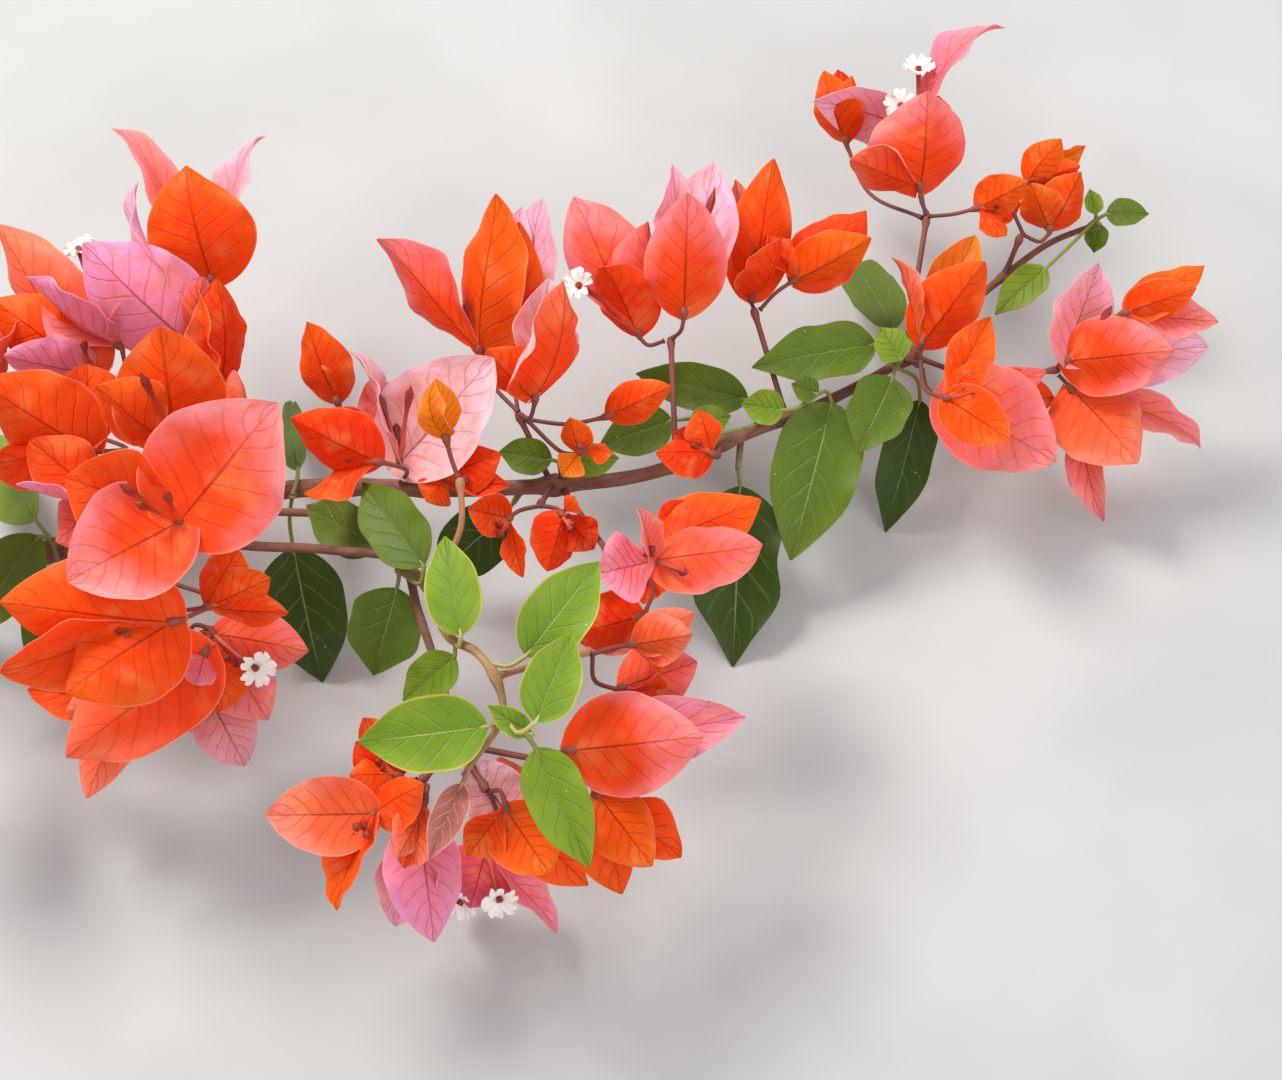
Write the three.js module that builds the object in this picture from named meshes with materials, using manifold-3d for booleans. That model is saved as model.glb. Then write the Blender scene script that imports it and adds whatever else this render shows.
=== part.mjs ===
// A cut flowering branch of bougainvillea, lying on the ground.
//
// A woody main stem forks into an upper and a lower branch. Thin stalks rise from them to forks that
// carry the blooms: three papery bracts round three slim tubes, some of which open in a small star.
// Leaves stand on short twigs, and a pale young shoot leaves the lower branch towards the viewer.
//
// Millimetres, +Z up. The branch runs along +X, from its cut end to its tip, and lies on z = 0.
import * as THREE from 'three';
import { LoftGeometry } from 'three/addons/geometries/LoftGeometry.js';
import { mergeVertices } from 'three/addons/utils/BufferGeometryUtils.js';
import Module from 'manifold-3d';

const wasm = await Module();
wasm.setup();
const { Manifold, Mesh: SolidMesh } = wasm;

// Driving dimensions
const BRACT_THICK = 0.8;
const BRACT_WIDTH = 0.86; // of its length
const BRACT_TILT = 20; // degrees about its rib, so that each bract tucks one edge under the next
const BRACT_ROOT = 2.6; // from the axis of the bloom to the foot of a bract
const BRACT_LOBE = 0.16; // how far its foot runs back on both sides of its rib, as a share of its width
const PEDICEL_RADIUS = 0.85; // of the thin stalk of one bloom
const PEDICEL_FOOT = 1.25; // of the knob that joins the pedicels of one node
const HEART_RADIUS = 2.3; // of the swelling at a pedicel's end that joins the bracts
const HEART_HALF = 1.85; // half of its length
const LEAF_THICK = 0.7;
const STALK_RADIUS = 1.05; // of the stalk from a branch to its fork
const FORK_RADIUS = 1.9; // of the stalk's end, where it swells at its fork
const FORK_HALF = 1.7; // from the fork's middle to the start of the swelling
const FORK_END = 0.9; // from the fork's middle to the stalk's end
const FORK_CLEAR = 0.3; // between a fork and the pedicels that spread from it
const BUD_RADII = [1.5, 3.6, 2.6, 0.5]; // of a closed bud, from its foot to its tip
const BUD_SHARES = [0, 0.4, 0.75, 1]; // of its length, where it has them
const TUBE_RADII = [0.7, 1.1]; // of a flower's slim tube
const STAR_RADIUS = 4.3; // of an open flower
const STAR_NOTCH = 0.62; // of that radius, between two lobes
const STAR_DEPTH = 2.6; // from its rim to the point inside its tube
const STAR_LIFT = 1.2; // how strongly it turns up, where 1 is half-way between its tube and straight up
const PETIOLE_RADIUS = 0.6; // of a leaf's stalk
const SHORT_STALK = 6; // a stalk that is no longer than this is straight
const STALK_TURN = 0.45; // of a longer one's length, which it takes to turn the way it arrives
const TWIG_RADII = [0.9, 0.9]; // of the short twig that carries a group of leaves
const GAP = 0.35; // kept between any two pieces
const RIB_STEPS = 48; // that a blade's rib is traced in

const radians = THREE.MathUtils.degToRad;

// The picture plane that the branch was measured in: a slanting view from above, with places read as
// steps across and down from its top left corner. A step is 0.28 mm at the middle of the branch.
const STEP = 0.28;
const PICTURE_MIDDLE = [641, 540];
const VIEW_RISE = radians(60);
const VIEW_DISTANCE = 560;
const VIEW_HEIGHT = 45; // above the ground, of the point that the view looks at
const RIGHT = new THREE.Vector3(1, 0, 0);
const UP = new THREE.Vector3(0, Math.sin(VIEW_RISE), Math.cos(VIEW_RISE));
const TOWARD = new THREE.Vector3(0, -Math.cos(VIEW_RISE), Math.sin(VIEW_RISE));
const LOOK_AT = new THREE.Vector3(0, 0, VIEW_HEIGHT);
const EYE = LOOK_AT.clone().addScaledVector(TOWARD, VIEW_DISTANCE);

// From the point under the view's middle to the middle of the finished branch's footprint.
const FOOTPRINT_MIDDLE = new THREE.Vector3(-41.25, 34.05, 0.36);

const vec = (x, y, z) => new THREE.Vector3(x, y, z);

// The point seen at (across, down) in the picture that lies at a height above the ground.
function spot([across, down, height]) {
  const seen = LOOK_AT.clone()
    .addScaledVector(RIGHT, (across - PICTURE_MIDDLE[0]) * STEP)
    .addScaledVector(UP, (PICTURE_MIDDLE[1] - down) * STEP);
  const reach = (EYE.z - height) / (EYE.z - seen.z);
  return EYE.clone().lerp(seen, reach);
}

// A direction given as its parts to the right, up the picture and toward the viewer.
function facing([right, up, toward]) {
  return vec(0, 0, 0)
    .addScaledVector(RIGHT, right)
    .addScaledVector(UP, up)
    .addScaledVector(TOWARD, toward)
    .normalize();
}

// The same number between 0 and 1 for the same seed each time.
function chance(seed) {
  const mixed = Math.sin(seed * 12.9898 + 4.1414) * 43758.5453;
  return mixed - Math.floor(mixed);
}

const jitter = (seed, most) => (2 * chance(seed) - 1) * most;

// A closed geometry as a solid, with its collapsed ends welded.
function solid(shape) {
  const geometry = new THREE.BufferGeometry().copy(shape);
  geometry.deleteAttribute('normal');
  geometry.deleteAttribute('uv');
  const merged = mergeVertices(geometry, 1e-4);
  const kept = [];
  const index = merged.index.array;
  for (let i = 0; i < index.length; i += 3) {
    const [a, b, c] = [index[i], index[i + 1], index[i + 2]];
    if (a !== b && b !== c && c !== a) kept.push(a, b, c);
  }
  return new Manifold(new SolidMesh({
    numProp: 3,
    vertProperties: merged.attributes.position.array,
    triVerts: new Uint32Array(kept),
  }));
}

// A round solid along a line of centres, with a radius at each and flat ends.
function tube(centres, radii, sides, grow) {
  const sections = [];
  let normal = vec(0.3, 0.5, 0.8);
  centres.forEach((centre, i) => {
    const onward = centres[Math.min(i + 1, centres.length - 1)].clone()
      .sub(centres[Math.max(i - 1, 0)]).normalize();
    normal = normal.clone().addScaledVector(onward, -normal.dot(onward)).normalize();
    const across = onward.clone().cross(normal);
    sections.push(Array.from({ length: sides }, (_, k) => {
      const turn = (k / sides) * 2 * Math.PI;
      return centre.clone()
        .addScaledVector(normal, Math.cos(turn) * (radii[i] + grow))
        .addScaledVector(across, Math.sin(turn) * (radii[i] + grow));
    }));
  });
  return solid(new LoftGeometry(sections, { capStart: true, capEnd: true }));
}

// A limb along a smooth curve through points, tapering from its foot to its tip.
function limb(points, [footRadius, tipRadius], { sides, stations, grow = 0 }) {
  const curve = new THREE.CatmullRomCurve3(points, false, 'centripetal');
  const radii = Array.from({ length: stations + 1 },
    (_, i) => footRadius + ((tipRadius - footRadius) * i) / stations);
  return tube(curve.getSpacedPoints(stations), radii, sides, grow);
}

function knob(centre, radius) {
  return solid(new THREE.OctahedronGeometry(radius)).translate(centre.toArray());
}

// How wide a blade is at a share of its length, from 0 at both ends to 1 at its widest.
function outline(share, rootPower, tipPower) {
  const widest = rootPower / (rootPower + tipPower);
  const most = widest ** rootPower * (1 - widest) ** tipPower;
  return (share ** rootPower * (1 - share) ** tipPower) / most;
}

// A bract or leaf blade: its rib starts at root, turned from `along` towards `outward` by an angle
// that changes along its length, and its section is an arc that cups towards the inside. A tilt turns
// the section about the rib. The blade narrows to a point at its tip, and at its foot to a point or
// to a stalk through a list of points. Its edges run back beside the foot by `lobe` of its width.
function blade({ foot, stalk, root, along, outward, length, width, start, bend, flick = 0, cup, tilt = 0,
  lobe = 0, powers, rows, thick, grow }) {
  const level = along.clone().cross(outward).normalize();
  const rib = [root.clone()];
  const angleAt = (share) => radians(start + bend * share + flick * share ** 4);
  for (let i = 0; i < RIB_STEPS; i++) {
    const angle = angleAt((i + 0.5) / RIB_STEPS);
    rib.push(rib[i].clone()
      .addScaledVector(along, (Math.cos(angle) * length) / RIB_STEPS)
      .addScaledVector(outward, (Math.sin(angle) * length) / RIB_STEPS));
  }
  const section = (share) => {
    const angle = angleAt(share);
    const inside = along.clone().multiplyScalar(Math.sin(angle))
      .addScaledVector(outward, -Math.cos(angle));
    const onward = level.clone().cross(inside);
    const side = level.clone().applyAxisAngle(onward, radians(tilt));
    inside.applyAxisAngle(onward, radians(tilt));
    const middle = rib[Math.round(share * RIB_STEPS)];
    const half = (width / 2) * outline(share, ...powers) + grow;
    const point = (t, lift) => middle.clone()
      .addScaledVector(side, (half * Math.sin(cup * t)) / cup)
      .addScaledVector(inside, (half * (1 - Math.cos(cup * t))) / cup + lift)
      .addScaledVector(onward, -lobe * width * t ** 2 * (1 - share) ** 3);
    const skin = thick / 2 + grow;
    return [point(-1, 0), point(0, -skin), point(1, 0), point(0, skin)];
  };
  const sections = rows.map(section);
  const pointAt = (end) => sections[0].map(() => end.clone());
  if (!stalk) return solid(new LoftGeometry([pointAt(foot), ...sections, pointAt(rib[RIB_STEPS])]));
  const stalkSection = (centre, i) => {
    const onward = (stalk[i + 1] ?? centre.clone().add(along)).clone().sub(stalk[i]).normalize();
    const turn = new THREE.Quaternion().setFromUnitVectors(along, onward);
    const reach = PETIOLE_RADIUS + grow;
    return [[level, -reach], [outward, reach], [level, reach], [outward, -reach]].map(
      ([way, distance]) => centre.clone().addScaledVector(way.clone().applyQuaternion(turn), distance));
  };
  const rings = [...stalk.map(stalkSection), ...sections, pointAt(rib[RIB_STEPS])];
  return solid(new LoftGeometry(rings, { capStart: true }));
}

// How a bloom opens: the angle of its bracts from its axis at the root, how much they bend along
// their length, how far the tips flick back, and how deeply they are cupped.
const HABITS = {
  bell: { start: 40, bend: -48, flick: 85, cup: 0.95 },
  half: { start: 38, bend: -12, flick: 25, cup: 0.85 },
};

const BRACT_POWERS = [0.5, 0.78];
const LEAF_POWERS = [0.6, 0.9];

// Where along its length a blade has its sections, by the length below which that is enough.
const BRACT_ROWS = [[24, [0.4]], [Infinity, [0.22, 0.65]]];
const LEAF_ROWS = [[30, [0.12, 0.5]], [Infinity, [0.1, 0.4, 0.75]]];

const rowsFor = (length, table) => table.find(([most]) => length < most)[1];

// Where a bloom's first bract stands round its axis: on the side toward the viewer, or at the top of
// the picture for a bloom that faces the viewer.
function firstOutward(axis) {
  const toward = Math.abs(axis.dot(TOWARD)) < 0.85 ? TOWARD : UP;
  return toward.clone().addScaledVector(axis, -toward.dot(axis)).normalize();
}

// The point seen at (across, down) that is `near` millimetres nearer to the viewer than another place.
function nearSpot([, fromDown, height], [across, down, near]) {
  return spot([across, down, height + (fromDown - down) * STEP * UP.z + near * TOWARD.z]);
}

// A bract measured in the picture: it runs from the heart to its tip, `face` turns its inner side away
// from the viewer about its length, and `bend` and `flick` curve it without moving its tip.
function measuredBract(at, { tip, width, face, bend = -30, flick = 25, cup = 0.75 }, grow) {
  const foot = spot(at);
  const along = nearSpot(at, tip).sub(foot);
  const reach = along.length() - BRACT_ROOT;
  along.normalize();
  const inner = TOWARD.clone().addScaledVector(along, -TOWARD.dot(along)).normalize()
    .applyAxisAngle(along, radians(face));
  let [onward, aside] = [0, 0];
  for (let i = 0; i < RIB_STEPS; i++) {
    const share = (i + 0.5) / RIB_STEPS;
    const angle = radians(bend * share + flick * share ** 4);
    onward += Math.cos(angle) / RIB_STEPS;
    aside += Math.sin(angle) / RIB_STEPS;
  }
  const length = reach / Math.hypot(onward, aside);
  return blade({
    foot,
    root: foot.clone().addScaledVector(along, BRACT_ROOT),
    along,
    outward: inner.negate(),
    length,
    width,
    start: -THREE.MathUtils.radToDeg(Math.atan2(aside, onward)),
    bend,
    flick,
    cup,
    lobe: BRACT_LOBE,
    powers: BRACT_POWERS,
    rows: rowsFor(length, BRACT_ROWS),
    thick: BRACT_THICK,
    grow,
  });
}

// A bract placed by its bloom's habit and by chance.
function habitBract(bloom, k, seed, grow) {
  const foot = spot(bloom.at);
  const axis = facing(bloom.axis);
  const habit = HABITS[bloom.habit];
  const outward = firstOutward(axis)
    .applyAxisAngle(axis, radians(bloom.roll + 120 * k + jitter(seed + k, 9)));
  const length = bloom.size * (1 + jitter(seed + k + 20, 0.07));
  return blade({
    foot,
    root: foot.clone().addScaledVector(outward, BRACT_ROOT),
    along: axis,
    outward,
    length,
    width: length * BRACT_WIDTH,
    start: habit.start + jitter(seed + k + 40, 6),
    bend: habit.bend,
    flick: habit.flick,
    cup: habit.cup,
    tilt: BRACT_TILT,
    lobe: BRACT_LOBE,
    powers: BRACT_POWERS,
    rows: rowsFor(length, BRACT_ROWS),
    thick: BRACT_THICK,
    grow,
  });
}

// The bracts and flower tubes of one bloom, or the closed bud that it starts as.
function bloomHead(bloom, seed, grow) {
  const centre = spot(bloom.at);
  const axis = facing(bloom.axis);
  if (bloom.habit === 'bud') {
    const places = BUD_SHARES.map((share) => centre.clone().addScaledVector(axis, share * bloom.size));
    return [tube(places, BUD_RADII, 5, grow)];
  }
  if (bloom.habit) return [0, 1, 2].map((k) => habitBract(bloom, k, seed, grow));
  const pieces = bloom.bracts.map((bract) => measuredBract(bloom.at, bract, grow));
  for (const { tip, open } of bloom.flowers ?? []) {
    const end = nearSpot(bloom.at, tip);
    pieces.push(limb([centre, end], TUBE_RADII, { sides: 3, stations: 1, grow }));
    if (open) pieces.push(openStar(end, end.clone().sub(centre).normalize(), grow));
  }
  return pieces;
}

// The open end of a flower's tube: a shallow dish of five lobes that turns up to the light.
function openStar(tip, way, grow) {
  const lean = way.clone().add(vec(0, 0, STAR_LIFT)).normalize();
  const across = firstOutward(lean);
  const up = lean.clone().cross(across);
  const ring = (lift, reach) => Array.from({ length: 10 }, (_, k) => {
    const turn = (k / 10) * 2 * Math.PI;
    const radius = (k % 2 ? STAR_NOTCH : 1) * reach;
    return tip.clone().addScaledVector(lean, lift)
      .addScaledVector(across, Math.cos(turn) * radius)
      .addScaledVector(up, Math.sin(turn) * radius);
  });
  const rings = [ring(-STAR_DEPTH - grow, 0), ring(grow, STAR_RADIUS + grow)];
  return solid(new LoftGeometry(rings, { capEnd: true }));
}

// The forks. A stalk runs `from` a branch, in some by way of `via`, to the fork `at` its end.
const FORKS = {
  tip: { from: [905, 356, 34], at: [926, 222, 46] },
  tip_buds: { from: [1004, 276, 34], at: [1019, 240, 42] },
  elbow: { from: [903, 359, 34], at: [918, 364, 42] },
  end: { from: [912, 356, 34], via: [985, 378, 36], at: [1054, 370, 36] },
  back: { from: [786, 417, 35], at: [755, 314, 48] },
  middle: { from: [676, 463, 38], at: [671, 343, 49] },
  crown: { from: [552, 485, 40], at: [520, 418, 54] },
  inner: { from: [430, 488, 40], at: [404, 484, 56] },
  outer: { from: [347, 487, 40], at: [343, 440, 46] },
  low: { from: [553, 485, 40], at: [541, 503, 56] },
  side: { from: [562, 488, 40], at: [607, 551, 58] },
  red_bud: { from: [722, 446, 36], at: [717, 455, 44] },
  shoot: { from: [495, 677, 82], via: [540, 664, 74], at: [585, 652, 68] },
  right: { from: [462, 745, 58], at: [540, 760, 58] },
  lower: { from: [469, 763, 57], at: [484, 786, 58] },
  lower_left: { from: [461, 742, 58], at: [424, 778, 56] },
  young: { from: [428, 586, 68], via: [460, 530, 78], at: [460, 484, 84] },
  mass_top: { from: [110, 532, 40], via: [170, 450, 46], at: [200, 392, 52] },
  mass_left: { from: [70, 545, 38], at: [62, 425, 52] },
  mass_front: { from: [135, 528, 42], at: [172, 580, 58] },
  mass_low: { from: [120, 532, 40], via: [130, 620, 40], at: [175, 655, 44] },
  cut_end: { from: [-20, 575, 30], at: [-45, 530, 48] },
};

// The stems. `path` runs through points in the picture with heights, from foot to tip, `radii` are
// those at its two ends and `forks` names the stalks that stand on it.
const STEMS = {
  main_stem: {
    path: [[-215, 640, 4], [-120, 612, 13], [-20, 575, 28], [70, 545, 37], [150, 526, 42]],
    radii: [4.1, 3.1],
    stations: 8,
    stub: { from: [140, 526, 42], via: [230, 512, 46], at: [315, 513, 52], radii: [1.4, 1.1] },
    forks: ['mass_top', 'mass_left', 'mass_front', 'mass_low', 'cut_end'],
  },
  upper_branch: {
    path: [[158, 522, 42], [275, 492, 40], [350, 487, 40], [450, 489, 40], [555, 485, 40],
      [650, 473, 38], [740, 437, 36], [830, 400, 34], [905, 358, 34], [1004, 276, 34],
      [1050, 243, 35], [1092, 226, 37]],
    radii: [2.9, 0.9],
    stations: 12,
    forks: ['inner', 'outer', 'crown', 'low', 'side', 'middle', 'red_bud', 'back', 'elbow', 'end',
      'tip', 'tip_buds'],
  },
  lower_branch: {
    path: [[146, 527, 43], [240, 545, 53], [330, 550, 60], [400, 562, 62], [418, 610, 62],
      [437, 668, 60], [462, 745, 58], [470, 765, 57]],
    radii: [1.5, 1.0],
    stations: 11,
    forks: ['lower', 'lower_left', 'right'],
  },
};

// The pale young shoot and the leaves along it.
const YOUNG_SHOOT = {
  path: [[402, 565, 64], [428, 586, 68], [449, 637, 76], [476, 652, 80], [495, 677, 82],
    [503, 707, 80], [497, 728, 78], [475, 759, 74], [463, 776, 72]],
  radii: [1.6, 0.7],
  stations: 10,
  forks: ['shoot', 'young'],
};

// The blooms, one to three to a node. `fork` carries them, `at` is where a bloom's bracts meet and
// `axis` the way it opens (right, up, toward the viewer). A tip is given by its place in the picture and
// by how much nearer to the viewer it is than `at`. `flowers` are the tubes that show and are `open` or
// closed. A bloom on the side that the picture hides has a `habit` with a `roll` and a `size` instead.
const BLOOMS = {
  bloom_tip: [
    { fork: 'tip', at: [920, 186, 52], axis: [0, 1, 0.15], bracts: [
      { tip: [928, 92, 11], width: 33, face: -165, bend: -40, cup: 0.8 },
      { tip: [850, 160, 6], width: 25, face: 135, cup: 0.9 },
      { tip: [938, 96, -13], width: 20, face: -25 }] },
    { fork: 'tip', at: [977, 208, 50], axis: [1, 0.3, 0.2], bracts: [
      { tip: [1028, 182, 6], width: 14, face: -165, bend: -40, cup: 0.9 },
      { tip: [1006, 236, 5], width: 11, face: 150, bend: -50, cup: 0.9 },
      { tip: [1020, 204, -6], width: 13, face: 0, bend: -40 }] }],
  bloom_tip_pink: [
    { fork: 'tip', at: [918, 133, 44], axis: [-0.1, 1, 0.45], bracts: [
      { tip: [814, 101, 10], width: 18, face: -32, bend: -50, flick: 0, cup: 0.5 },
      { tip: [1005, 28, 2], width: 19, face: -55, bend: 75, flick: 20, cup: 0.6 },
      { tip: [868, 152, 2], width: 13, face: 20 }],
      flowers: [{ tip: [919, 66, 4], open: true }, { tip: [900, 104, 9], open: true }] }],
  bloom_tip_left: [
    { fork: 'tip', at: [846, 140, 44], axis: [-0.15, 1, 0.1], bracts: [
      { tip: [824, 71, 5], width: 17, face: 150, bend: -60, flick: 15, cup: 0.95 },
      { tip: [852, 76, 1], width: 15, face: -140, bend: -60, flick: 15, cup: 0.95 },
      { tip: [838, 70, -7], width: 15, face: 0, bend: -50, cup: 0.9 }] }],
  bloom_tip_buds: [
    { fork: 'tip_buds', at: [1027, 182, 52], axis: [0.8, 0.7, 0.2], bracts: [
      { tip: [1061, 139, 6], width: 13, face: 165, bend: -45, cup: 0.9 },
      { tip: [1085, 146, -4], width: 11, face: 40 },
      { tip: [1080, 166, 4], width: 11, face: -150 }] },
    { fork: 'tip_buds', at: [1050, 228, 45], axis: [0.15, 1, 0.1], bracts: [
      { tip: [1081, 172, 5], width: 17, face: -165, bend: -50, cup: 0.95 },
      { tip: [1031, 183, 6], width: 14, face: 150, bend: -50, cup: 0.95 },
      { tip: [1056, 176, -7], width: 14, face: 0, bend: -40 }] }],
  bloom_elbow: [
    { fork: 'elbow', at: [922, 343, 48], axis: [0.3, 1, 0.4], bracts: [
      { tip: [985, 262, 10], width: 21, face: -165, bend: -25, cup: 0.8 },
      { tip: [892, 258, 6], width: 12, face: 110, bend: -10, flick: 50 },
      { tip: [975, 236, -10], width: 20, face: 10 }] },
    { fork: 'elbow', at: [946, 398, 53], axis: [0.7, -0.1, 1], bracts: [
      { tip: [986, 357, 4], width: 11, face: 150 },
      { tip: [1010, 440, 6], width: 16, face: 8, bend: -10, cup: 0.5 },
      { tip: [990, 317, -6], width: 15, face: 0 }] }],
  bloom_elbow_low: [
    { fork: 'elbow', at: [946, 398, 36], axis: [1, -0.2, 0.2], bracts: [
      { tip: [1056, 462, 4], width: 33, face: -12, bend: -25, cup: 0.7 },
      { tip: [1046, 371, 0], width: 17, face: 150, bend: -30 },
      { tip: [1054, 398, -10], width: 22, face: 20 }] }],
  bloom_end: [
    { fork: 'end', at: [1066, 361, 44], axis: [0.9, 0.4, 0.4], bracts: [
      { tip: [1098, 263, -2], width: 21, face: 22, bend: -20, cup: 0.6 },
      { tip: [1174, 351, 11], width: 24, face: -165, bend: -20, cup: 0.8 },
      { tip: [1208, 347, -12], width: 24, face: -18, bend: -15, cup: 0.6 }],
      flowers: [{ tip: [1112, 306, 3] }] },
    { fork: 'end', at: [1126, 312, 54], axis: [1, 0.35, 0.2], bracts: [
      { tip: [1204, 266, 4], width: 14, face: 165, bend: -35 },
      { tip: [1196, 288, 9], width: 13, face: -165, bend: -35 },
      { tip: [1218, 322, 0], width: 14, face: -20 }] }],
  bloom_end_low: [
    { fork: 'end', at: [1072, 390, 33], axis: [0.55, -0.75, 0.1], bracts: [
      { tip: [1138, 463, 10], width: 29, face: 176, bend: -30, flick: 10, cup: 0.75 },
      { tip: [1200, 448, -9], width: 14, face: -30, bend: 20, flick: 40 },
      { tip: [1104, 521, -9], width: 13, face: 30, bend: 15, flick: 40 }] }],
  bloom_back: [
    { fork: 'back', at: [752, 297, 46], axis: [0.1, 1, 0.05], bracts: [
      { tip: [774, 159, 4], width: 20, face: -170, bend: -15, flick: 30, cup: 0.85 },
      { tip: [781, 238, 13], width: 18, face: -118, bend: -60, cup: 0.9 },
      { tip: [735, 180, -9], width: 20, face: 42 }] }],
  bloom_back_right: [
    { fork: 'back', at: [795, 280, 52], axis: [0.9, 0.5, 0.1], bracts: [
      { tip: [866, 211, 3], width: 21, face: 160, bend: -40, cup: 0.9 },
      { tip: [871, 238, 9], width: 18, face: -155, bend: -45, cup: 0.9 },
      { tip: [768, 236, -3], width: 14, face: 30 }] }],
  bloom_middle: [
    { fork: 'middle', at: [684, 312, 60], axis: [0.02, 1, 0.2], bracts: [
      { tip: [688, 193, 12], width: 25, face: 180, bend: -30, flick: 20, cup: 0.85 },
      { tip: [672, 165, -9], width: 20, face: 35, bend: -20, flick: 20 },
      { tip: [714, 163, -12], width: 27, face: -15, bend: -15, flick: 10, cup: 0.6 }],
      flowers: [{ tip: [715, 187, 3] }] }],
  bloom_middle_left: [
    { fork: 'middle', at: [638, 332, 50], axis: [-0.3, 1, 0.15], bracts: [
      { tip: [603, 267, 13], width: 20, face: 150, bend: -10, flick: 45, cup: 0.85 },
      { tip: [648, 222, -1], width: 25, face: -135, bend: -45, cup: 0.9 },
      { tip: [574, 197, -8], width: 28, face: 15, bend: -25, cup: 0.7 }],
      flowers: [{ tip: [577, 284, 12], open: true }] }],
  bloom_crown: [
    { fork: 'crown', at: [480, 350, 60], axis: [-0.2, 1, 0.1], bracts: [
      { tip: [496, 194, 11], width: 26, face: 150, bend: -40, flick: 40, cup: 0.85 },
      { tip: [377, 239, 2], width: 26, face: 142, bend: -25, flick: 40, cup: 0.7 },
      { tip: [522, 208, -9], width: 18, face: 10, bend: -20 }] },
    { fork: 'crown', at: [514, 350, 56], axis: [0.03, 1, 0.12], bracts: [
      { tip: [519, 222, 10], width: 18, face: -175, bend: -30 },
      { tip: [543, 199, -5], width: 21, face: -30, bend: -20, flick: 30 }],
      flowers: [{ tip: [527, 262, 4] }] }],
  bloom_crown_front: [
    { fork: 'crown', at: [535, 398, 68], axis: [0.1, 1, 0.4], bracts: [
      { tip: [563, 282, 9], width: 28, face: -138, bend: -65, flick: 0, cup: 0.9 },
      { tip: [487, 349, 9], width: 20, face: 150, bend: -40, flick: 10, cup: 0.9 },
      { tip: [549, 279, -6], width: 21, face: 20, bend: -20, flick: 10, cup: 0.7 }],
      flowers: [{ tip: [549, 306, 6] }] }],
  bloom_crown_small: [
    { fork: 'crown', at: [607, 416, 56], axis: [1, 0.35, 0.2], bracts: [
      { tip: [671, 386, 4], width: 13, face: -170, bend: -45, flick: 20, cup: 0.9 },
      { tip: [650, 386, -3], width: 12, face: 120, bend: -40 }] },
    { fork: 'crown', at: [580, 452, 60], axis: [0.3, 0.3, 1], bracts: [
      { tip: [570, 418, 3], width: 10, face: 160, bend: -40, flick: 30 },
      { tip: [613, 452, 1], width: 8, face: 140 },
      { tip: [562, 476, 3], width: 10, face: 0, bend: -20 }] }],
  bloom_inner: [
    { fork: 'inner', at: [400, 462, 62], axis: [0, 1, 0.45], bracts: [
      { tip: [350, 351, 4], width: 15, face: 82, bend: -15, flick: 50 },
      { tip: [494, 358, 5], width: 31, face: -14, bend: -25, cup: 0.6 },
      { tip: [372, 378, -5], width: 19, face: 15, bend: -15 }],
      flowers: [{ tip: [379, 393, 5] }, { tip: [411, 386, 5] }] }],
  bloom_inner_left: [
    { fork: 'inner', at: [378, 462, 76], axis: [-1, 0.1, 0.4], bracts: [
      { tip: [291, 418, 5], width: 19, face: 165, bend: -40, flick: 10, cup: 0.9 },
      { tip: [304, 494, 2], width: 13, face: -140, bend: -20 },
      { tip: [332, 408, -5], width: 15, face: 30, bend: -30 }] }],
  bloom_inner_right: [
    { fork: 'inner', at: [446, 478, 64], axis: [1, 0.2, 0.5], bracts: [
      { tip: [501, 454, 3], width: 14, face: 160, bend: -50 },
      { tip: [427, 502, 3], width: 12, face: 175, bend: -40 },
      { tip: [509, 486, 2], width: 9, face: 0, bend: -30 }] }],
  bloom_outer: [
    { fork: 'outer', at: [337, 401, 50], axis: [-0.35, 1, 0.1], bracts: [
      { tip: [307, 322, 5], width: 16, face: 165, bend: -45, cup: 0.95 },
      { tip: [338, 344, 0], width: 13, face: -120, bend: -60 },
      { tip: [314, 330, -6], width: 13, face: 20, bend: -40 }] }],
  bloom_young: [
    { fork: 'young', at: [446, 438, 91], axis: [-0.2, 1, 0.3], bracts: [
      { tip: [436, 379, 4], width: 13, face: -155, bend: -60, flick: 10, cup: 1 },
      { tip: [433, 382, 6], width: 10, face: 120, bend: -75, flick: 10, cup: 1 },
      { tip: [430, 386, -4], width: 11, face: 20, bend: -60 }] }],
  bloom_low: [
    { fork: 'low', at: [509, 518, 64], axis: [-0.3, -0.4, 1], bracts: [
      { tip: [468, 509, 3], width: 12, face: 0, bend: -20 },
      { tip: [523, 577, 3], width: 9, face: 30, bend: -10 }] },
    { fork: 'low', at: [562, 514, 60], axis: [0.2, -0.4, 1], bracts: [
      { tip: [547, 571, 6], width: 15, face: 150, bend: -40 },
      { tip: [575, 497, 2], width: 8, face: 150 },
      { tip: [594, 549, -1], width: 13, face: 0, bend: -20 }] }],
  bloom_red_bud: [
    { fork: 'red_bud', at: [712, 454, 50], axis: [-0.9, 0.3, 0.5], bracts: [
      { tip: [656, 453, 3], width: 14, face: -160, bend: -45, cup: 0.95 },
      { tip: [699, 410, 2], width: 13, face: -170, bend: -45, cup: 0.95 },
      { tip: [674, 432, -3], width: 11, face: 20 }] }],
  bloom_side: [
    { fork: 'side', at: [655, 561, 66], axis: [0.1, 0, 1], bracts: [
      { tip: [762, 545, 6], width: 21, face: 155, bend: -10, flick: 25, cup: 0.85 },
      { tip: [598, 574, 4], width: 21, face: 5, bend: -10, cup: 0.5 },
      { tip: [637, 509, 7], width: 11, face: 60, bend: -10, flick: 30 }],
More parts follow.
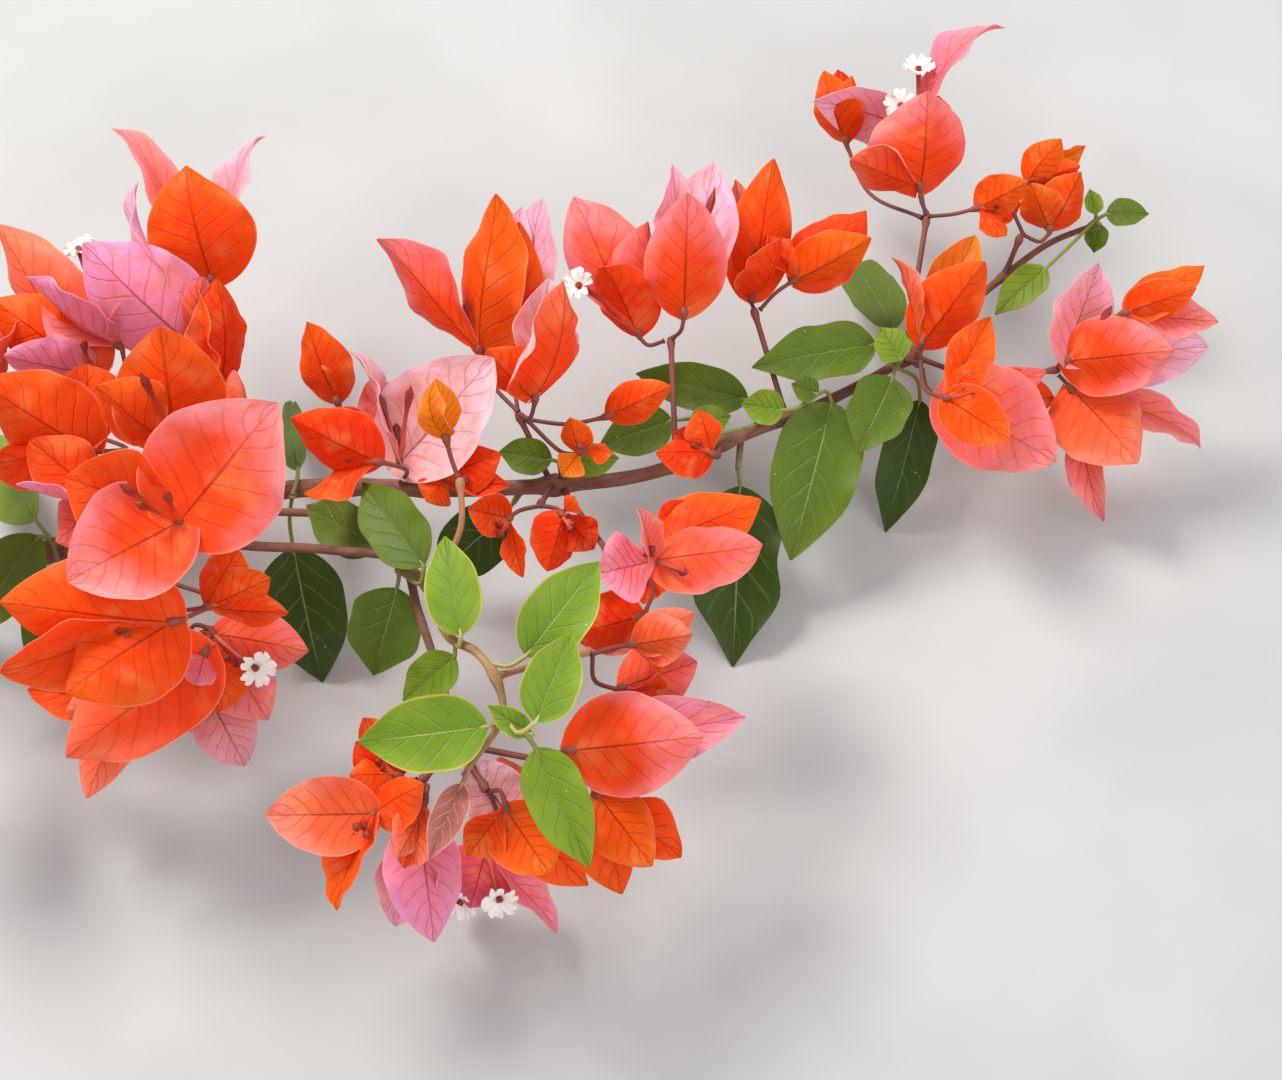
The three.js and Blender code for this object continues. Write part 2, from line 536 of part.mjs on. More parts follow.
      flowers: [{ tip: [688, 574, 6] }] },
    { fork: 'side', at: [654, 546, 56], axis: [0.9, 0.4, 0.2], bracts: [
      { tip: [761, 500, 2], width: 21, face: 172, bend: -30, cup: 0.85 },
      { tip: [644, 604, 2], width: 15, face: 0, bend: -20 },
      { tip: [700, 506, -8], width: 16, face: 10 }] },
    { fork: 'side', at: [640, 616, 54], axis: [-0.7, -0.4, 0.3], bracts: [
      { tip: [573, 636, 4], width: 18, face: 175, bend: -25 },
      { tip: [596, 652, -3], width: 12, face: 0 },
      { tip: [590, 606, -4], width: 13, face: 20 }] }],
  bloom_shoot: [
    { fork: 'shoot', at: [632, 644, 70], axis: [1, 0.2, 0.5], bracts: [
      { tip: [694, 613, 4], width: 12, face: 165, bend: -45, flick: 25, cup: 0.9 },
      { tip: [692, 634, 8], width: 14, face: -170, bend: -45, flick: 20, cup: 0.9 },
      { tip: [680, 650, -3], width: 12, face: -30 }] },
    { fork: 'shoot', at: [622, 688, 58], axis: [1, 0.2, 0.3], bracts: [
      { tip: [697, 662, 3], width: 19, face: 170, bend: -40, cup: 0.9 },
      { tip: [676, 700, 0], width: 15, face: -120 },
      { tip: [680, 680, -8], width: 16, face: 0 }] }],
  bloom_right: [
    { fork: 'right', at: [571, 750, 60], axis: [1, 0.12, 0.2], bracts: [
      { tip: [703, 737, 9], width: 27, face: -176, bend: -28, flick: 20, cup: 0.75 },
      { tip: [745, 717, -6], width: 20, face: -12, bend: -10, flick: 20, cup: 0.6 },
      { tip: [644, 700, -10], width: 18, face: 20, bend: -30 }] }],
  bloom_right_low: [
    { fork: 'right', at: [597, 794, 50], axis: [0.6, -0.9, 0.1], bracts: [
      { tip: [652, 866, 8], width: 18, face: 172, bend: -30, cup: 0.8 },
      { tip: [681, 857, -3], width: 18, face: -30, bend: -20 },
      { tip: [622, 894, 0], width: 21, face: 150, bend: -35, cup: 0.9 }] }],
  bloom_lower_left: [
    { fork: 'lower_left', at: [374, 814, 58], axis: [-0.3, -0.5, 1], bracts: [
      { tip: [266, 815, 0], width: 20, face: 0, bend: 10, flick: 10, cup: 0.5 },
      { tip: [337, 910, 2], width: 15, face: 40, bend: 15, flick: 20, cup: 0.8 },
      { tip: [424, 784, 4], width: 15, face: 150, bend: -40 }],
      flowers: [{ tip: [354, 829, 9] }, { tip: [366, 838, 9] }] },
    { fork: 'lower_left', at: [398, 776, 56], axis: [-0.8, 0.5, 0.3], bracts: [
      { tip: [363, 718, 2], width: 14, face: 165, bend: -40 },
      { tip: [350, 775, 5], width: 12, face: -150, bend: -30 },
      { tip: [356, 742, -5], width: 14, face: 0 }] }],
  bloom_lower_pink: [
    { fork: 'lower_left', at: [419, 826, 40], axis: [-0.1, -1, 0], bracts: [
      { tip: [434, 942, 6], width: 21, face: 165, bend: -20, flick: 10, cup: 0.7 },
      { tip: [441, 906, -1], width: 12, face: -100, bend: -20 },
      { tip: [396, 926, -7], width: 18, face: 10 }] },
    { fork: 'lower_left', at: [424, 802, 60], axis: [-0.3, -1, 0.4], bracts: [
      { tip: [397, 858, 6], width: 10, face: 150, bend: -45 },
      { tip: [418, 868, 4], width: 12, face: -150, bend: -45 },
      { tip: [404, 868, -4], width: 12, face: 0, bend: -40 }] }],
  bloom_lower: [
    { fork: 'lower', at: [506, 809, 62], axis: [0.15, -1, 0.3], bracts: [
      { tip: [549, 873, 10], width: 19, face: 175, bend: -25, cup: 0.7 },
      { tip: [467, 856, 5], width: 14, face: -160, bend: -30 },
      { tip: [588, 885, -3], width: 17, face: 150, bend: -30 }] },
    { fork: 'lower', at: [510, 818, 48], axis: [-0.4, 0.9, 0.2], bracts: [
      { tip: [468, 760, 2], width: 17, face: 10, bend: -10 },
      { tip: [500, 757, -4], width: 17, face: 0 },
      { tip: [458, 792, -3], width: 12, face: 30 }] }],
  bloom_lower_back: [
    { fork: 'lower', at: [487, 848, 24], axis: [0.1, -1, 0], bracts: [
      { tip: [470, 908, 6], width: 20, face: 178, bend: -40, cup: 0.8 },
      { tip: [556, 933, -3], width: 14, face: -60, flick: 50 },
      { tip: [455, 912, -8], width: 15, face: 40 }],
      flowers: [{ tip: [500, 902, 7], open: true }, { tip: [459, 905, 3], open: true }] }],
  bloom_horned: [
    { fork: 'mass_top', at: [211, 279, 60], axis: [-0.1, 1, 0.15], bracts: [
      { tip: [186, 166, 4], width: 32, face: 178, bend: -70, flick: 0, cup: 0.6 },
      { tip: [112, 129, -14], width: 17, face: 62, bend: -10, flick: 50, cup: 0.7 },
      { tip: [265, 136, -14], width: 18, face: -58, bend: -10, flick: 50, cup: 0.7 }] }],
  bloom_top_pink: [
    { fork: 'mass_top', at: [188, 342, 74], axis: [-0.5, 1, 0.25], bracts: [
      { tip: [83, 243, 9], width: 31, face: 172, bend: -45, flick: 15, cup: 0.85 },
      { tip: [138, 183, -2], width: 19, face: -60, bend: -20, flick: 60, cup: 0.8 },
      { tip: [204, 277, 4], width: 14, face: -165, bend: -30 }] }],
  bloom_top_right: [
    { fork: 'mass_top', at: [220, 386, 66], axis: [0.05, 1, 0.3], bracts: [
      { tip: [216, 279, 4], width: 21, face: -135, bend: -60, flick: 10, cup: 0.9 },
      { tip: [196, 284, 6], width: 13, face: 100, bend: -40 },
      { tip: [182, 300, -5], width: 24, face: 10 }] },
    { fork: 'mass_top', at: [236, 424, 64], axis: [0, 1, 0.2], size: 15, habit: 'bud' }],
  bloom_mass_centre: [
    { fork: 'mass_top', at: [176, 446, 86], axis: [-0.2, 1, 0.5], bracts: [
      { tip: [160, 327, 9], width: 30, face: -168, bend: -35, flick: 30, cup: 0.8 },
      { tip: [96, 386, 8], width: 24, face: 150, bend: -40, cup: 0.85 },
      { tip: [216, 388, -4], width: 24, face: -130, bend: -40 }],
      flowers: [{ tip: [140, 372, 12] }] }],
  bloom_mass_left: [
    { fork: 'mass_left', at: [118, 345, 71], axis: [-0.8, 0.9, 0.2], bracts: [
      { tip: [26, 277, 6], width: 20, face: 120, bend: -40, flick: 20, cup: 0.9 },
      { tip: [142, 284, 9], width: 11, face: -130, bend: -20 },
      { tip: [46, 300, -6], width: 24, face: 20 }],
      flowers: [{ tip: [78, 247, -8], open: true }] },
    { fork: 'mass_left', at: [94, 372, 64], axis: [-1, 0.5, 0.3], bracts: [
      { tip: [-4, 224, -6], width: 28, face: 150, bend: -30, flick: 20, cup: 0.8 },
      { tip: [4, 356, 12], width: 17, face: 140, bend: -30, flick: 20 },
      { tip: [-8, 300, 2], width: 26, face: 170, bend: -30 }],
      flowers: [{ tip: [84, 341, 12] }] }],
  bloom_mass_edge: [
    { fork: 'mass_left', at: [91, 451, 73], axis: [-1, 0.12, 0.5], bracts: [
      { tip: [-22, 382, 6], width: 27, face: 170, bend: -30, cup: 0.8 },
      { tip: [-18, 466, 4], width: 19, face: -150, bend: -30 },
      { tip: [87, 364, -7], width: 26, face: 12 }] }],
  bloom_front: [
    { fork: 'mass_front', at: [180, 521, 90], axis: [-0.1, 0, 1], bracts: [
      { tip: [278, 403, 5], width: 37, face: -4, bend: -12, flick: 15, cup: 0.6 },
      { tip: [68, 582, 8], width: 31, face: 10, bend: -12, flick: 15, cup: 0.6 },
      { tip: [66, 477, 3], width: 30, face: -8, bend: -12, flick: 15, cup: 0.6 }],
      flowers: [{ tip: [119, 484, 12] }, { tip: [166, 492, 14] }] }],
  bloom_front_left: [
    { fork: 'mass_front', at: [106, 502, 74], axis: [-1, 0.05, 0.2], bracts: [
      { tip: [16, 485, 6], width: 17, face: 100, bend: -35, flick: 20, cup: 0.9 },
      { tip: [56, 542, 2], width: 19, face: -165, bend: -30 },
      { tip: [30, 440, -6], width: 20, face: 20 }] }],
  bloom_orange_left: [
    { fork: 'mass_front', at: [172, 622, 78], axis: [-1, -0.15, 0.15], bracts: [
      { tip: [0, 602, 3], width: 31, face: 168, bend: -30, flick: 15, cup: 0.75 },
      { tip: [66, 693, 7], width: 28, face: -170, bend: -25, flick: 15, cup: 0.75 },
      { tip: [0, 672, -5], width: 28, face: -40, bend: -20 }] }],
  bloom_front_right: [
    { fork: 'mass_front', at: [208, 606, 74], axis: [0.9, 0.35, 0.4], bracts: [
      { tip: [238, 548, 3], width: 15, face: 165, bend: -30 },
      { tip: [270, 578, 5], width: 14, face: -165, bend: -40 },
      { tip: [288, 613, 3], width: 12, face: -150, bend: -30 }] }],
  bloom_salmon: [
    { fork: 'mass_low', at: [204, 654, 54], axis: [-0.55, -0.85, 0.2], bracts: [
      { tip: [66, 757, 5], width: 31, face: 176, bend: -20, flick: 15, cup: 0.75 },
      { tip: [196, 684, 13], width: 10, face: 147, bend: -30 },
      { tip: [110, 690, -8], width: 22, face: 12 }] },
    { fork: 'mass_low', at: [128, 700, 40], axis: [-0.35, -1, 0], bracts: [
      { tip: [87, 798, 2], width: 15, face: 160, bend: -10, flick: 40 },
      { tip: [66, 712, 2], width: 16, face: 170, bend: -30 },
      { tip: [28, 690, -5], width: 16, face: 10 }] }],
  bloom_low_right: [
    { fork: 'mass_low', at: [213, 634, 48], axis: [0.5, -0.9, 0.2], bracts: [
      { tip: [308, 651, 1], width: 18, face: 165, bend: -30 },
      { tip: [218, 712, 8], width: 23, face: 170, bend: -25 },
      { tip: [268, 720, -4], width: 23, face: 0 }],
      flowers: [{ tip: [257, 669, 8], open: true }] },
    { fork: 'mass_low', at: [208, 694, 36], axis: [0.25, -1, 0], bracts: [
      { tip: [245, 766, 5], width: 18, face: 170, bend: -25 },
      { tip: [190, 732, 2], width: 14, face: 120, bend: -30 },
      { tip: [220, 744, -6], width: 15, face: 0 }] }],
  bloom_cut_end_top: [
    { fork: 'cut_end', at: [-62, 440, 76], axis: [-0.35, 1, 0.5], roll: 63, size: 37, habit: 'half' },
    { fork: 'cut_end', at: [-34, 400, 58], axis: [0, 1, 0.1], roll: 0, size: 34, habit: 'bell' }],
  bloom_cut_end_left: [
    { fork: 'cut_end', at: [-60, 606, 62], axis: [-0.5, -0.8, 0.4], roll: 0, size: 37, habit: 'half' }],
};

// The leaves. Each node is a short twig from its branch, and the leaves that grow from the twig's end:
// `root` is where a blade starts, `tip` where it ends, `width` its width and `face` turns its upper
// side about its length.
const LEAF_GROUPS = {
  leaves_tip: {
    twig: [[1088, 228, 37], [1096, 220, 42]],
    leaves: [
      { root: [1106, 214, 44], tip: [1148, 214, 46], width: 10, face: -20 },
      { root: [1100, 224, 43], tip: [1094, 252, 36], width: 8, face: 30 },
      { root: [1096, 214, 44], tip: [1090, 190, 46], width: 6, face: 0 },
      { root: [1046, 268, 40], tip: [996, 314, 34], width: 12, face: 20 },
    ],
  },
  leaves_elbow: {
    twig: [[898, 362, 34], [895, 367, 42]],
    leaves: [
      { root: [876, 344, 44], tip: [754, 367, 42], width: 18, face: 10 },
      { root: [893, 378, 42], tip: [858, 452, 36], width: 19, face: 0 },
      { root: [920, 400, 30], tip: [886, 530, 1], width: 17, face: 0 },
      { root: [894, 330, 34], tip: [850, 262, 1], width: 17, face: 0 },
      { root: [902, 360, 46], tip: [880, 328, 48], width: 11, face: 0 },
    ],
  },
  leaves_back: {
    twig: [[802, 411, 35], [808, 401, 42]],
    leaves: [
      { root: [832, 402, 38], tip: [791, 558, 18], width: 27, face: 0 },
      { root: [818, 394, 44], tip: [792, 384, 46], width: 8, face: 0 },
      { root: [784, 410, 42], tip: [742, 404, 42], width: 11, face: 0 },
    ],
  },
  leaves_middle: {
    twig: [[700, 453, 37], [702, 438, 42]],
    leaves: [
      { root: [748, 400, 34], tip: [638, 374, 30], width: 15, face: 0 },
      { root: [672, 420, 34], tip: [600, 446, 30], width: 15, face: 0 },
      { root: [690, 426, 38], tip: [730, 416, 36], width: 10, face: 0 },
    ],
  },
  leaf_hanging: {
    twig: [[741, 437, 36], [738, 468, 30]],
    leaves: [
      { root: [740, 486, 26], tip: [733, 664, 1], width: 27, face: 0 },
    ],
  },
  leaves_crown: {
    twig: [[564, 484, 40], [560, 462, 50]],
    leaves: [
      { root: [552, 460, 50], tip: [500, 452, 46], width: 11, face: 0 },
      { root: [570, 462, 50], tip: [618, 458, 48], width: 10, face: 0 },
    ],
  },
  leaf_behind: {
    twig: [[524, 486, 40], [514, 502, 31]],
    leaves: [
      { root: [506, 514, 28], tip: [438, 574, 12], width: 20, face: 0 },
    ],
  },
  leaves_outer: {
    twig: [[297, 491, 40], [292, 496, 47]],
    leaves: [
      { root: [293, 548, 30], tip: [322, 680, 1], width: 26, face: 0 },
      { root: [298, 470, 40], tip: [290, 402, 1], width: 11, face: 0 },
    ],
  },
  leaves_lower: {
    twig: [[400, 562, 62], [398, 571, 69]],
    leaves: [
      { root: [424, 566, 76], tip: [364, 484, 72], width: 17, face: 0 },
      { root: [397, 588, 62], tip: [374, 674, 46], width: 21, face: 0 },
      { root: [380, 548, 62], tip: [308, 506, 52], width: 15, face: 0 },
    ],
  },
  leaves_mass: {
    twig: [[64, 547, 36], [52, 540, 47]],
    leaves: [
      { root: [40, 536, 48], tip: [-40, 640, 36], width: 18, face: 0 },
      { root: [36, 520, 44], tip: [-6, 440, 1], width: 20, face: 0 },
      { root: [60, 580, 36], tip: [62, 690, 12], width: 22, face: 0 },
    ],
  },
  leaves_cut_end: {
    twig: [[-118, 611, 13], [-122, 600, 24]],
    leaves: [
      { root: [-130, 576, 28], tip: [-170, 480, 30], width: 20, face: 0 },
      { root: [-110, 630, 18], tip: [-60, 730, 1], width: 21, face: 0 },
    ],
  },
};

// The young shoot's leaves, each with the share of the shoot's length that it grows `on`.
const SHOOT_LEAVES = [
  { root: [461, 636, 82], tip: [445, 538, 86], width: 15, face: 0, on: 0.43 },
  { root: [526, 656, 84], tip: [598, 563, 88], width: 18, face: 0, on: 0.6 },
  { root: [536, 722, 86], tip: [571, 634, 92], width: 15, face: 0, on: 0.76 },
  { root: [488, 726, 82], tip: [360, 742, 78], width: 20, face: 0, on: 0.82 },
  { root: [455, 656, 76], tip: [404, 700, 66], width: 12, face: 0, on: 0.45 },
  { root: [536, 748, 80], tip: [589, 866, 68], width: 16, face: 0, on: 0.8 },
  { root: [530, 734, 80], tip: [489, 706, 84], width: 7, face: 0, on: 0.78 },
  { root: [462, 784, 72], tip: [430, 858, 66], width: 9, face: 0, on: 0.96 },
];

// A thin stalk's points, which leave `from` and come in to `to` along the way `arrive` points.
function stalkPath(from, to, arrive) {
  const straight = to.clone().sub(from);
  if (straight.length() < SHORT_STALK) return [from, to];
  const reach = straight.length() * STALK_TURN;
  const turned = straight.normalize().add(arrive).normalize();
  return [from, to.clone().addScaledVector(turned, -reach), to];
}

// A stalk from a branch, which swells at the fork that its pedicels spread from.
function stalk({ from, via, at }, grow) {
  const path = [from, ...(via ? [via] : []), at].map(spot);
  const curve = new THREE.CatmullRomCurve3(path, false, 'centripetal');
  const centres = curve.getSpacedPoints(via ? 3 : 1);
  const fork = centres.pop();
  const inward = centres.at(-1).clone().sub(fork).normalize();
  centres.push(fork.clone().addScaledVector(inward, FORK_HALF));
  centres.push(fork.clone().addScaledVector(inward, -FORK_END));
  const radii = centres.map((_, i) => (i === centres.length - 1 ? FORK_RADIUS : STALK_RADIUS));
  return tube(centres, radii, 3, grow);
}

// A bloom's thin stalk, which swells where the bracts meet and ends just above it.
function pedicel(foot, heart, axis, grow) {
  const neck = heart.clone().addScaledVector(axis, -HEART_HALF);
  const curve = new THREE.CatmullRomCurve3(stalkPath(foot, neck, axis), false, 'centripetal');
  const end = heart.clone().addScaledVector(axis, HEART_HALF);
  const centres = [...curve.getSpacedPoints(2), heart, end];
  const thin = PEDICEL_RADIUS;
  return tube(centres, [thin, thin, thin, HEART_RADIUS, thin], 3, grow);
}

function stemSolid(stem, grow = 0) {
  const pieces = [limb(stem.path.map(spot), stem.radii, { sides: 6, stations: stem.stations, grow })];
  for (const name of stem.forks) pieces.push(stalk(FORKS[name], grow));
  if (stem.stub) {
    const path = [stem.stub.from, stem.stub.via, stem.stub.at].map(spot);
    pieces.push(limb(path, stem.stub.radii, { sides: 5, stations: 3, grow }));
  }
  return pieces;
}

// All blooms of a node start their pedicels at one point, just clear of their fork.
function bloomSolid(blooms, seed, grow = 0) {
  const fork = spot(FORKS[blooms[0].fork].at);
  const mean = vec(0, 0, 0);
  for (const bloom of blooms) mean.add(spot(bloom.at).sub(fork).normalize());
  const foot = fork.clone().addScaledVector(mean.normalize(), FORK_HALF + FORK_CLEAR);
  const pieces = [];
  blooms.forEach((bloom, i) => {
    pieces.push(pedicel(foot, spot(bloom.at), facing(bloom.axis), grow));
    pieces.push(...bloomHead(bloom, seed + i * 7, grow));
  });
  if (blooms.length > 1) pieces.push(knob(foot, PEDICEL_FOOT + grow));
  return pieces;
}

function leafSolid(leaf, foot, grow) {
  const root = spot(leaf.root);
  const tip = spot(leaf.tip);
  const along = tip.clone().sub(root);
  const length = along.length() * 1.02;
  along.normalize();
  const upper = TOWARD.clone().addScaledVector(along, -TOWARD.dot(along)).normalize()
    .applyAxisAngle(along, radians(leaf.face));
  return blade({
    stalk: stalkPath(foot, root, along),
    root,
    along,
    outward: upper.negate(),
    length,
    width: leaf.width,
    start: -10,
    bend: 20,
    cup: 0.35,
    powers: LEAF_POWERS,
    rows: rowsFor(length, LEAF_ROWS),
    thick: LEAF_THICK,
    grow,
  });
}

function leafGroupSolid(group, grow = 0) {
  const twig = group.twig.map(spot);
  const pieces = [limb(twig, TWIG_RADII, { sides: 4, stations: 1, grow })];
  for (const leaf of group.leaves) pieces.push(leafSolid(leaf, twig[1], grow));
  return pieces;
}

function youngShootSolid(grow = 0) {
  const curve = new THREE.CatmullRomCurve3(YOUNG_SHOOT.path.map(spot), false, 'centripetal');
  const pieces = stemSolid(YOUNG_SHOOT, grow);
  for (const leaf of SHOOT_LEAVES) pieces.push(leafSolid(leaf, curve.getPointAt(leaf.on), grow));
  return pieces;
}

// Colours
const BARK = new THREE.MeshStandardMaterial({ color: '#6e4034', roughness: 0.8, metalness: 0 });
const YOUNG_GREEN = new THREE.MeshStandardMaterial({ color: '#8fb535', roughness: 0.5, metalness: 0 });
const ORANGE = new THREE.MeshStandardMaterial({ color: '#f2531c', roughness: 0.6, metalness: 0 });
const PINK = new THREE.MeshStandardMaterial({ color: '#f0708e', roughness: 0.6, metalness: 0 });
const LEAF_GREEN = new THREE.MeshStandardMaterial({ color: '#4f7d25', roughness: 0.5, metalness: 0 });

const PINK_BLOOMS = ['bloom_tip_pink', 'bloom_end', 'bloom_middle', 'bloom_middle_left', 'bloom_inner',
  'bloom_lower_pink', 'bloom_lower_back', 'bloom_top_pink', 'bloom_mass_left'];

// Every node in the order in which it takes its space: a later one is cut back from those before it.
const makers = [];
for (const [name, stem] of Object.entries(STEMS)) {
  makers.push({ name, material: BARK, make: (grow) => stemSolid(stem, grow) });
}
makers.push({ name: 'young_shoot', material: YOUNG_GREEN, make: youngShootSolid });
Object.entries(BLOOMS).forEach(([name, blooms], i) => {
  const material = PINK_BLOOMS.includes(name) ? PINK : ORANGE;
  makers.push({ name, material, make: (grow) => bloomSolid(blooms, i * 50 + 3, grow) });
});
for (const [name, group] of Object.entries(LEAF_GROUPS)) {
  makers.push({ name, material: LEAF_GREEN, make: (grow) => leafGroupSolid(group, grow) });
}

function apart(a, b) {
  return [0, 1, 2].some((i) => a.min[i] > b.max[i] || b.min[i] > a.max[i]);
}

// The largest piece of a solid: the scraps that a cut leaves loose are dropped.
function largest(cut) {
  return cut.decompose().sort((a, b) => b.volume() - a.volume())[0];
}

const branch = new THREE.Group();
branch.name = 'bougainvillea_branch';
branch.position.copy(FOOTPRINT_MIDDLE).negate();
const taken = [];
for (const { name, material, make } of makers) {
  let body = Manifold.union(make(0));
  for (const other of taken) {
    if (!apart(body.boundingBox(), other.boundingBox())) body = body.subtract(other);
  }
  body = largest(body);
  taken.push(Manifold.union(make(GAP)));
  const { vertProperties, triVerts } = body.getMesh();
  const geometry = new THREE.BufferGeometry();
  geometry.setAttribute('position', new THREE.BufferAttribute(vertProperties, 3));
  geometry.setIndex(new THREE.BufferAttribute(triVerts, 1));
  geometry.computeVertexNormals();
  const mesh = new THREE.Mesh(geometry, material);
  mesh.name = name;
  branch.add(mesh);
}

export default branch;
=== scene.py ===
# %% [markdown]
# # A cut flowering branch of bougainvillea
#
# The branch lies on a pale floor, seen from above at a slant. What looks like the flower of a
# bougainvillea is three papery bracts, and the true flowers are the three slim tubes inside them, some
# of which open in a small white star. Bracts and leaves are thin curved sheets, so almost everything
# here is made from two shapes: a blade and a tube. Each is worked out from a few sizes, then hundreds
# of them are joined into a few meshes.
#
# The solids that carry the branch in physics come first. They are coarse, and each finer piece made
# below stands for some of them, at the same place and of the same size.

import bpy
import numpy as np
from mathutils import Matrix, Vector


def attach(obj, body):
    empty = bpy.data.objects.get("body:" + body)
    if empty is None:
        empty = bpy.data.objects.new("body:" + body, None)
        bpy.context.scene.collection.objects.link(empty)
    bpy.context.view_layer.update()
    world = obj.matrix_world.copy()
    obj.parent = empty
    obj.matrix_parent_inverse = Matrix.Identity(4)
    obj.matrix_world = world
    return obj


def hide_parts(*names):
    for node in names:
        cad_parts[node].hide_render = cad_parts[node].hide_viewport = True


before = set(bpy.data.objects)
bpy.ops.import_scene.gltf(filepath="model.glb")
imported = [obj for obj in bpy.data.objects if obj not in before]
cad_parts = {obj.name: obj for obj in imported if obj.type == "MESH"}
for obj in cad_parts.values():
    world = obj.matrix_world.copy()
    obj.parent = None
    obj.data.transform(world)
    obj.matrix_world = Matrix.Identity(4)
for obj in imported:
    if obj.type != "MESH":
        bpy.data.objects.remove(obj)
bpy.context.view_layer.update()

# %% [markdown]
# ## Places read from a slanting view
#
# The branch was measured in a picture plane: a place is so many steps across and down from the top left
# corner, with a height above the ground in millimetres. The line of sight through such a spot meets that
# height at one point only. One could write every place in plain x, y and z, but a blossom that looks
# right from the viewer's side is then hard to move without spoiling it.

# %% Places
STEP = 0.28  # millimetres at the middle of the branch
PICTURE_MIDDLE = (641, 540)
VIEW_RISE = np.radians(60)
VIEW_DISTANCE = 560
VIEW_HEIGHT = 45
FOOTPRINT_MIDDLE = np.array((-41.25, 34.05, 0.36))
FLOOR_CLEAR = 0.15  # millimetres that any leaf tip stays above the floor

RIGHT = np.array((1.0, 0.0, 0.0))
UP = np.array((0.0, np.sin(VIEW_RISE), np.cos(VIEW_RISE)))
TOWARD = np.array((0.0, -np.cos(VIEW_RISE), np.sin(VIEW_RISE)))
LOOK_AT = np.array((0.0, 0.0, VIEW_HEIGHT))
EYE = LOOK_AT + TOWARD * VIEW_DISTANCE


def spot(place):
    """The point seen at (across, down) in the picture that lies at a height above the ground."""
    across, down, height = place
    seen = LOOK_AT + RIGHT * (across - PICTURE_MIDDLE[0]) * STEP + UP * (PICTURE_MIDDLE[1] - down) * STEP
    reach = (EYE[2] - height) / (EYE[2] - seen[2])
    return EYE + (seen - EYE) * reach - FOOTPRINT_MIDDLE


def near_spot(start, tip):
    """The point seen at a tip's place that is so many millimetres nearer to the viewer than the start."""
    across, down, near = tip
    return spot((across, down, start[2] + (start[1] - down) * STEP * UP[2] + near * TOWARD[2]))


def unit(way):
    """A direction of length 1."""
    return way / np.linalg.norm(way)


def facing(parts):
    """A direction given as its parts to the right, up the picture and toward the viewer."""
    right, up, toward = parts
    return unit(RIGHT * right + UP * up + TOWARD * toward)


def turned(way, axis, angle):
    """A direction turned about an axis."""
    along = axis * np.dot(axis, way)
    return along + (way - along) * np.cos(angle) + np.cross(axis, way) * np.sin(angle)


def chance(seed):
    """The same number between 0 and 1 for the same seed each time."""
    mixed = np.sin(seed * 12.9898 + 4.1414) * 43758.5453
    return mixed - np.floor(mixed)


def jitter(seed, most):
    """A number between -most and most for a seed."""
    return (2 * chance(seed) - 1) * most


print("the view's middle on the ground:", np.round(spot((*PICTURE_MIDDLE, VIEW_HEIGHT)), 1))

# %% [markdown]
# ## One mesh from many shapes
#
# A branch has hundreds of bracts, leaves and stalks. An object for each would be slow to draw and hard
# to handle, and instances would be lost when the model is written out. So shapes of one kind are
# gathered as arrays of points and faces, and become one mesh at the end. Each point also carries its
# own two colours, near the rib and at the edge, and a number that differs from shape to shape, so that
# one material can finish them all without looking the same twice.

# %% Gather shapes
MILLIMETRE = 0.001
SHARP_EDGE = 55  # degrees between two faces from which their edge isn't smoothed


def srgb(code):
    """A colour written as six hexadecimal digits, as linear red, green and blue."""
    parts = np.array([int(code[i:i + 2], 16) for i in (1, 3, 5)]) / 255
    return np.where(parts <= 0.04045, parts / 12.92, ((parts + 0.055) / 1.055) ** 2.4)


class Gathered:
    """Points and faces of many small shapes that become one mesh."""

    def __init__(self):
        self.points = []
        self.faces = []
        self.places = []
        self.near = []
        self.far = []
        self.seeds = []
        self.looks = []
        self.count = 0

    def add(self, points, faces, places, near, far, seed, look=0):
        """Takes in one shape, with its places on the surface, two colours and the number of its material."""
        self.faces += [tuple(int(i) + self.count for i in face) for face in faces]
        self.looks += [look] * len(faces)
        self.points.append(points)
        self.places.append(places)
        self.near.append(np.broadcast_to(near, (len(points), 3)))
        self.far.append(np.broadcast_to(far, (len(points), 3)))
        self.seeds.append(np.full(len(points), chance(seed)))
        self.count += len(points)

    def piece(self, name, materials, slot, replaced=()):
        """The finished object, which moves with the branch and stands for some of its solids."""
        points = np.concatenate(self.points)
        points[:, 2] = np.maximum(points[:, 2], FLOOR_CLEAR)
        mesh = bpy.data.meshes.new(name)
        mesh.from_pydata((points * MILLIMETRE).tolist(), [], self.faces)
        mesh.polygons.foreach_set("use_smooth", np.ones(len(self.faces), bool))
        mesh.polygons.foreach_set("material_index", np.array(self.looks, np.int32))
        corners = np.empty(len(mesh.loops), np.int32)
        mesh.loops.foreach_get("vertex_index", corners)
        blade_map = mesh.uv_layers.new(name="blade")
        blade_map.uv.foreach_set("vector", np.concatenate(self.places)[corners].astype(np.float32).ravel())
        for title, colours in (("near", self.near), ("far", self.far)):
            rows = np.concatenate(colours)
            rows = np.hstack([rows, np.ones((len(rows), 1))]).astype(np.float32)
            layer = mesh.attributes.new(title, "FLOAT_COLOR", "POINT")
            layer.data.foreach_set("color", rows.ravel())
        own = mesh.attributes.new("own", "FLOAT", "POINT")
        own.data.foreach_set("value", np.concatenate(self.seeds).astype(np.float32))
        for material in materials:
            mesh.materials.append(material)
        mesh.set_sharp_from_angle(angle=np.radians(SHARP_EDGE))
        mesh.validate()
        made = bpy.data.objects.new(name, mesh)
        bpy.context.scene.collection.objects.link(made)
        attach(made, "root")
        if replaced:
            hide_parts(*replaced)
        print(name, "faces:", len(self.faces))


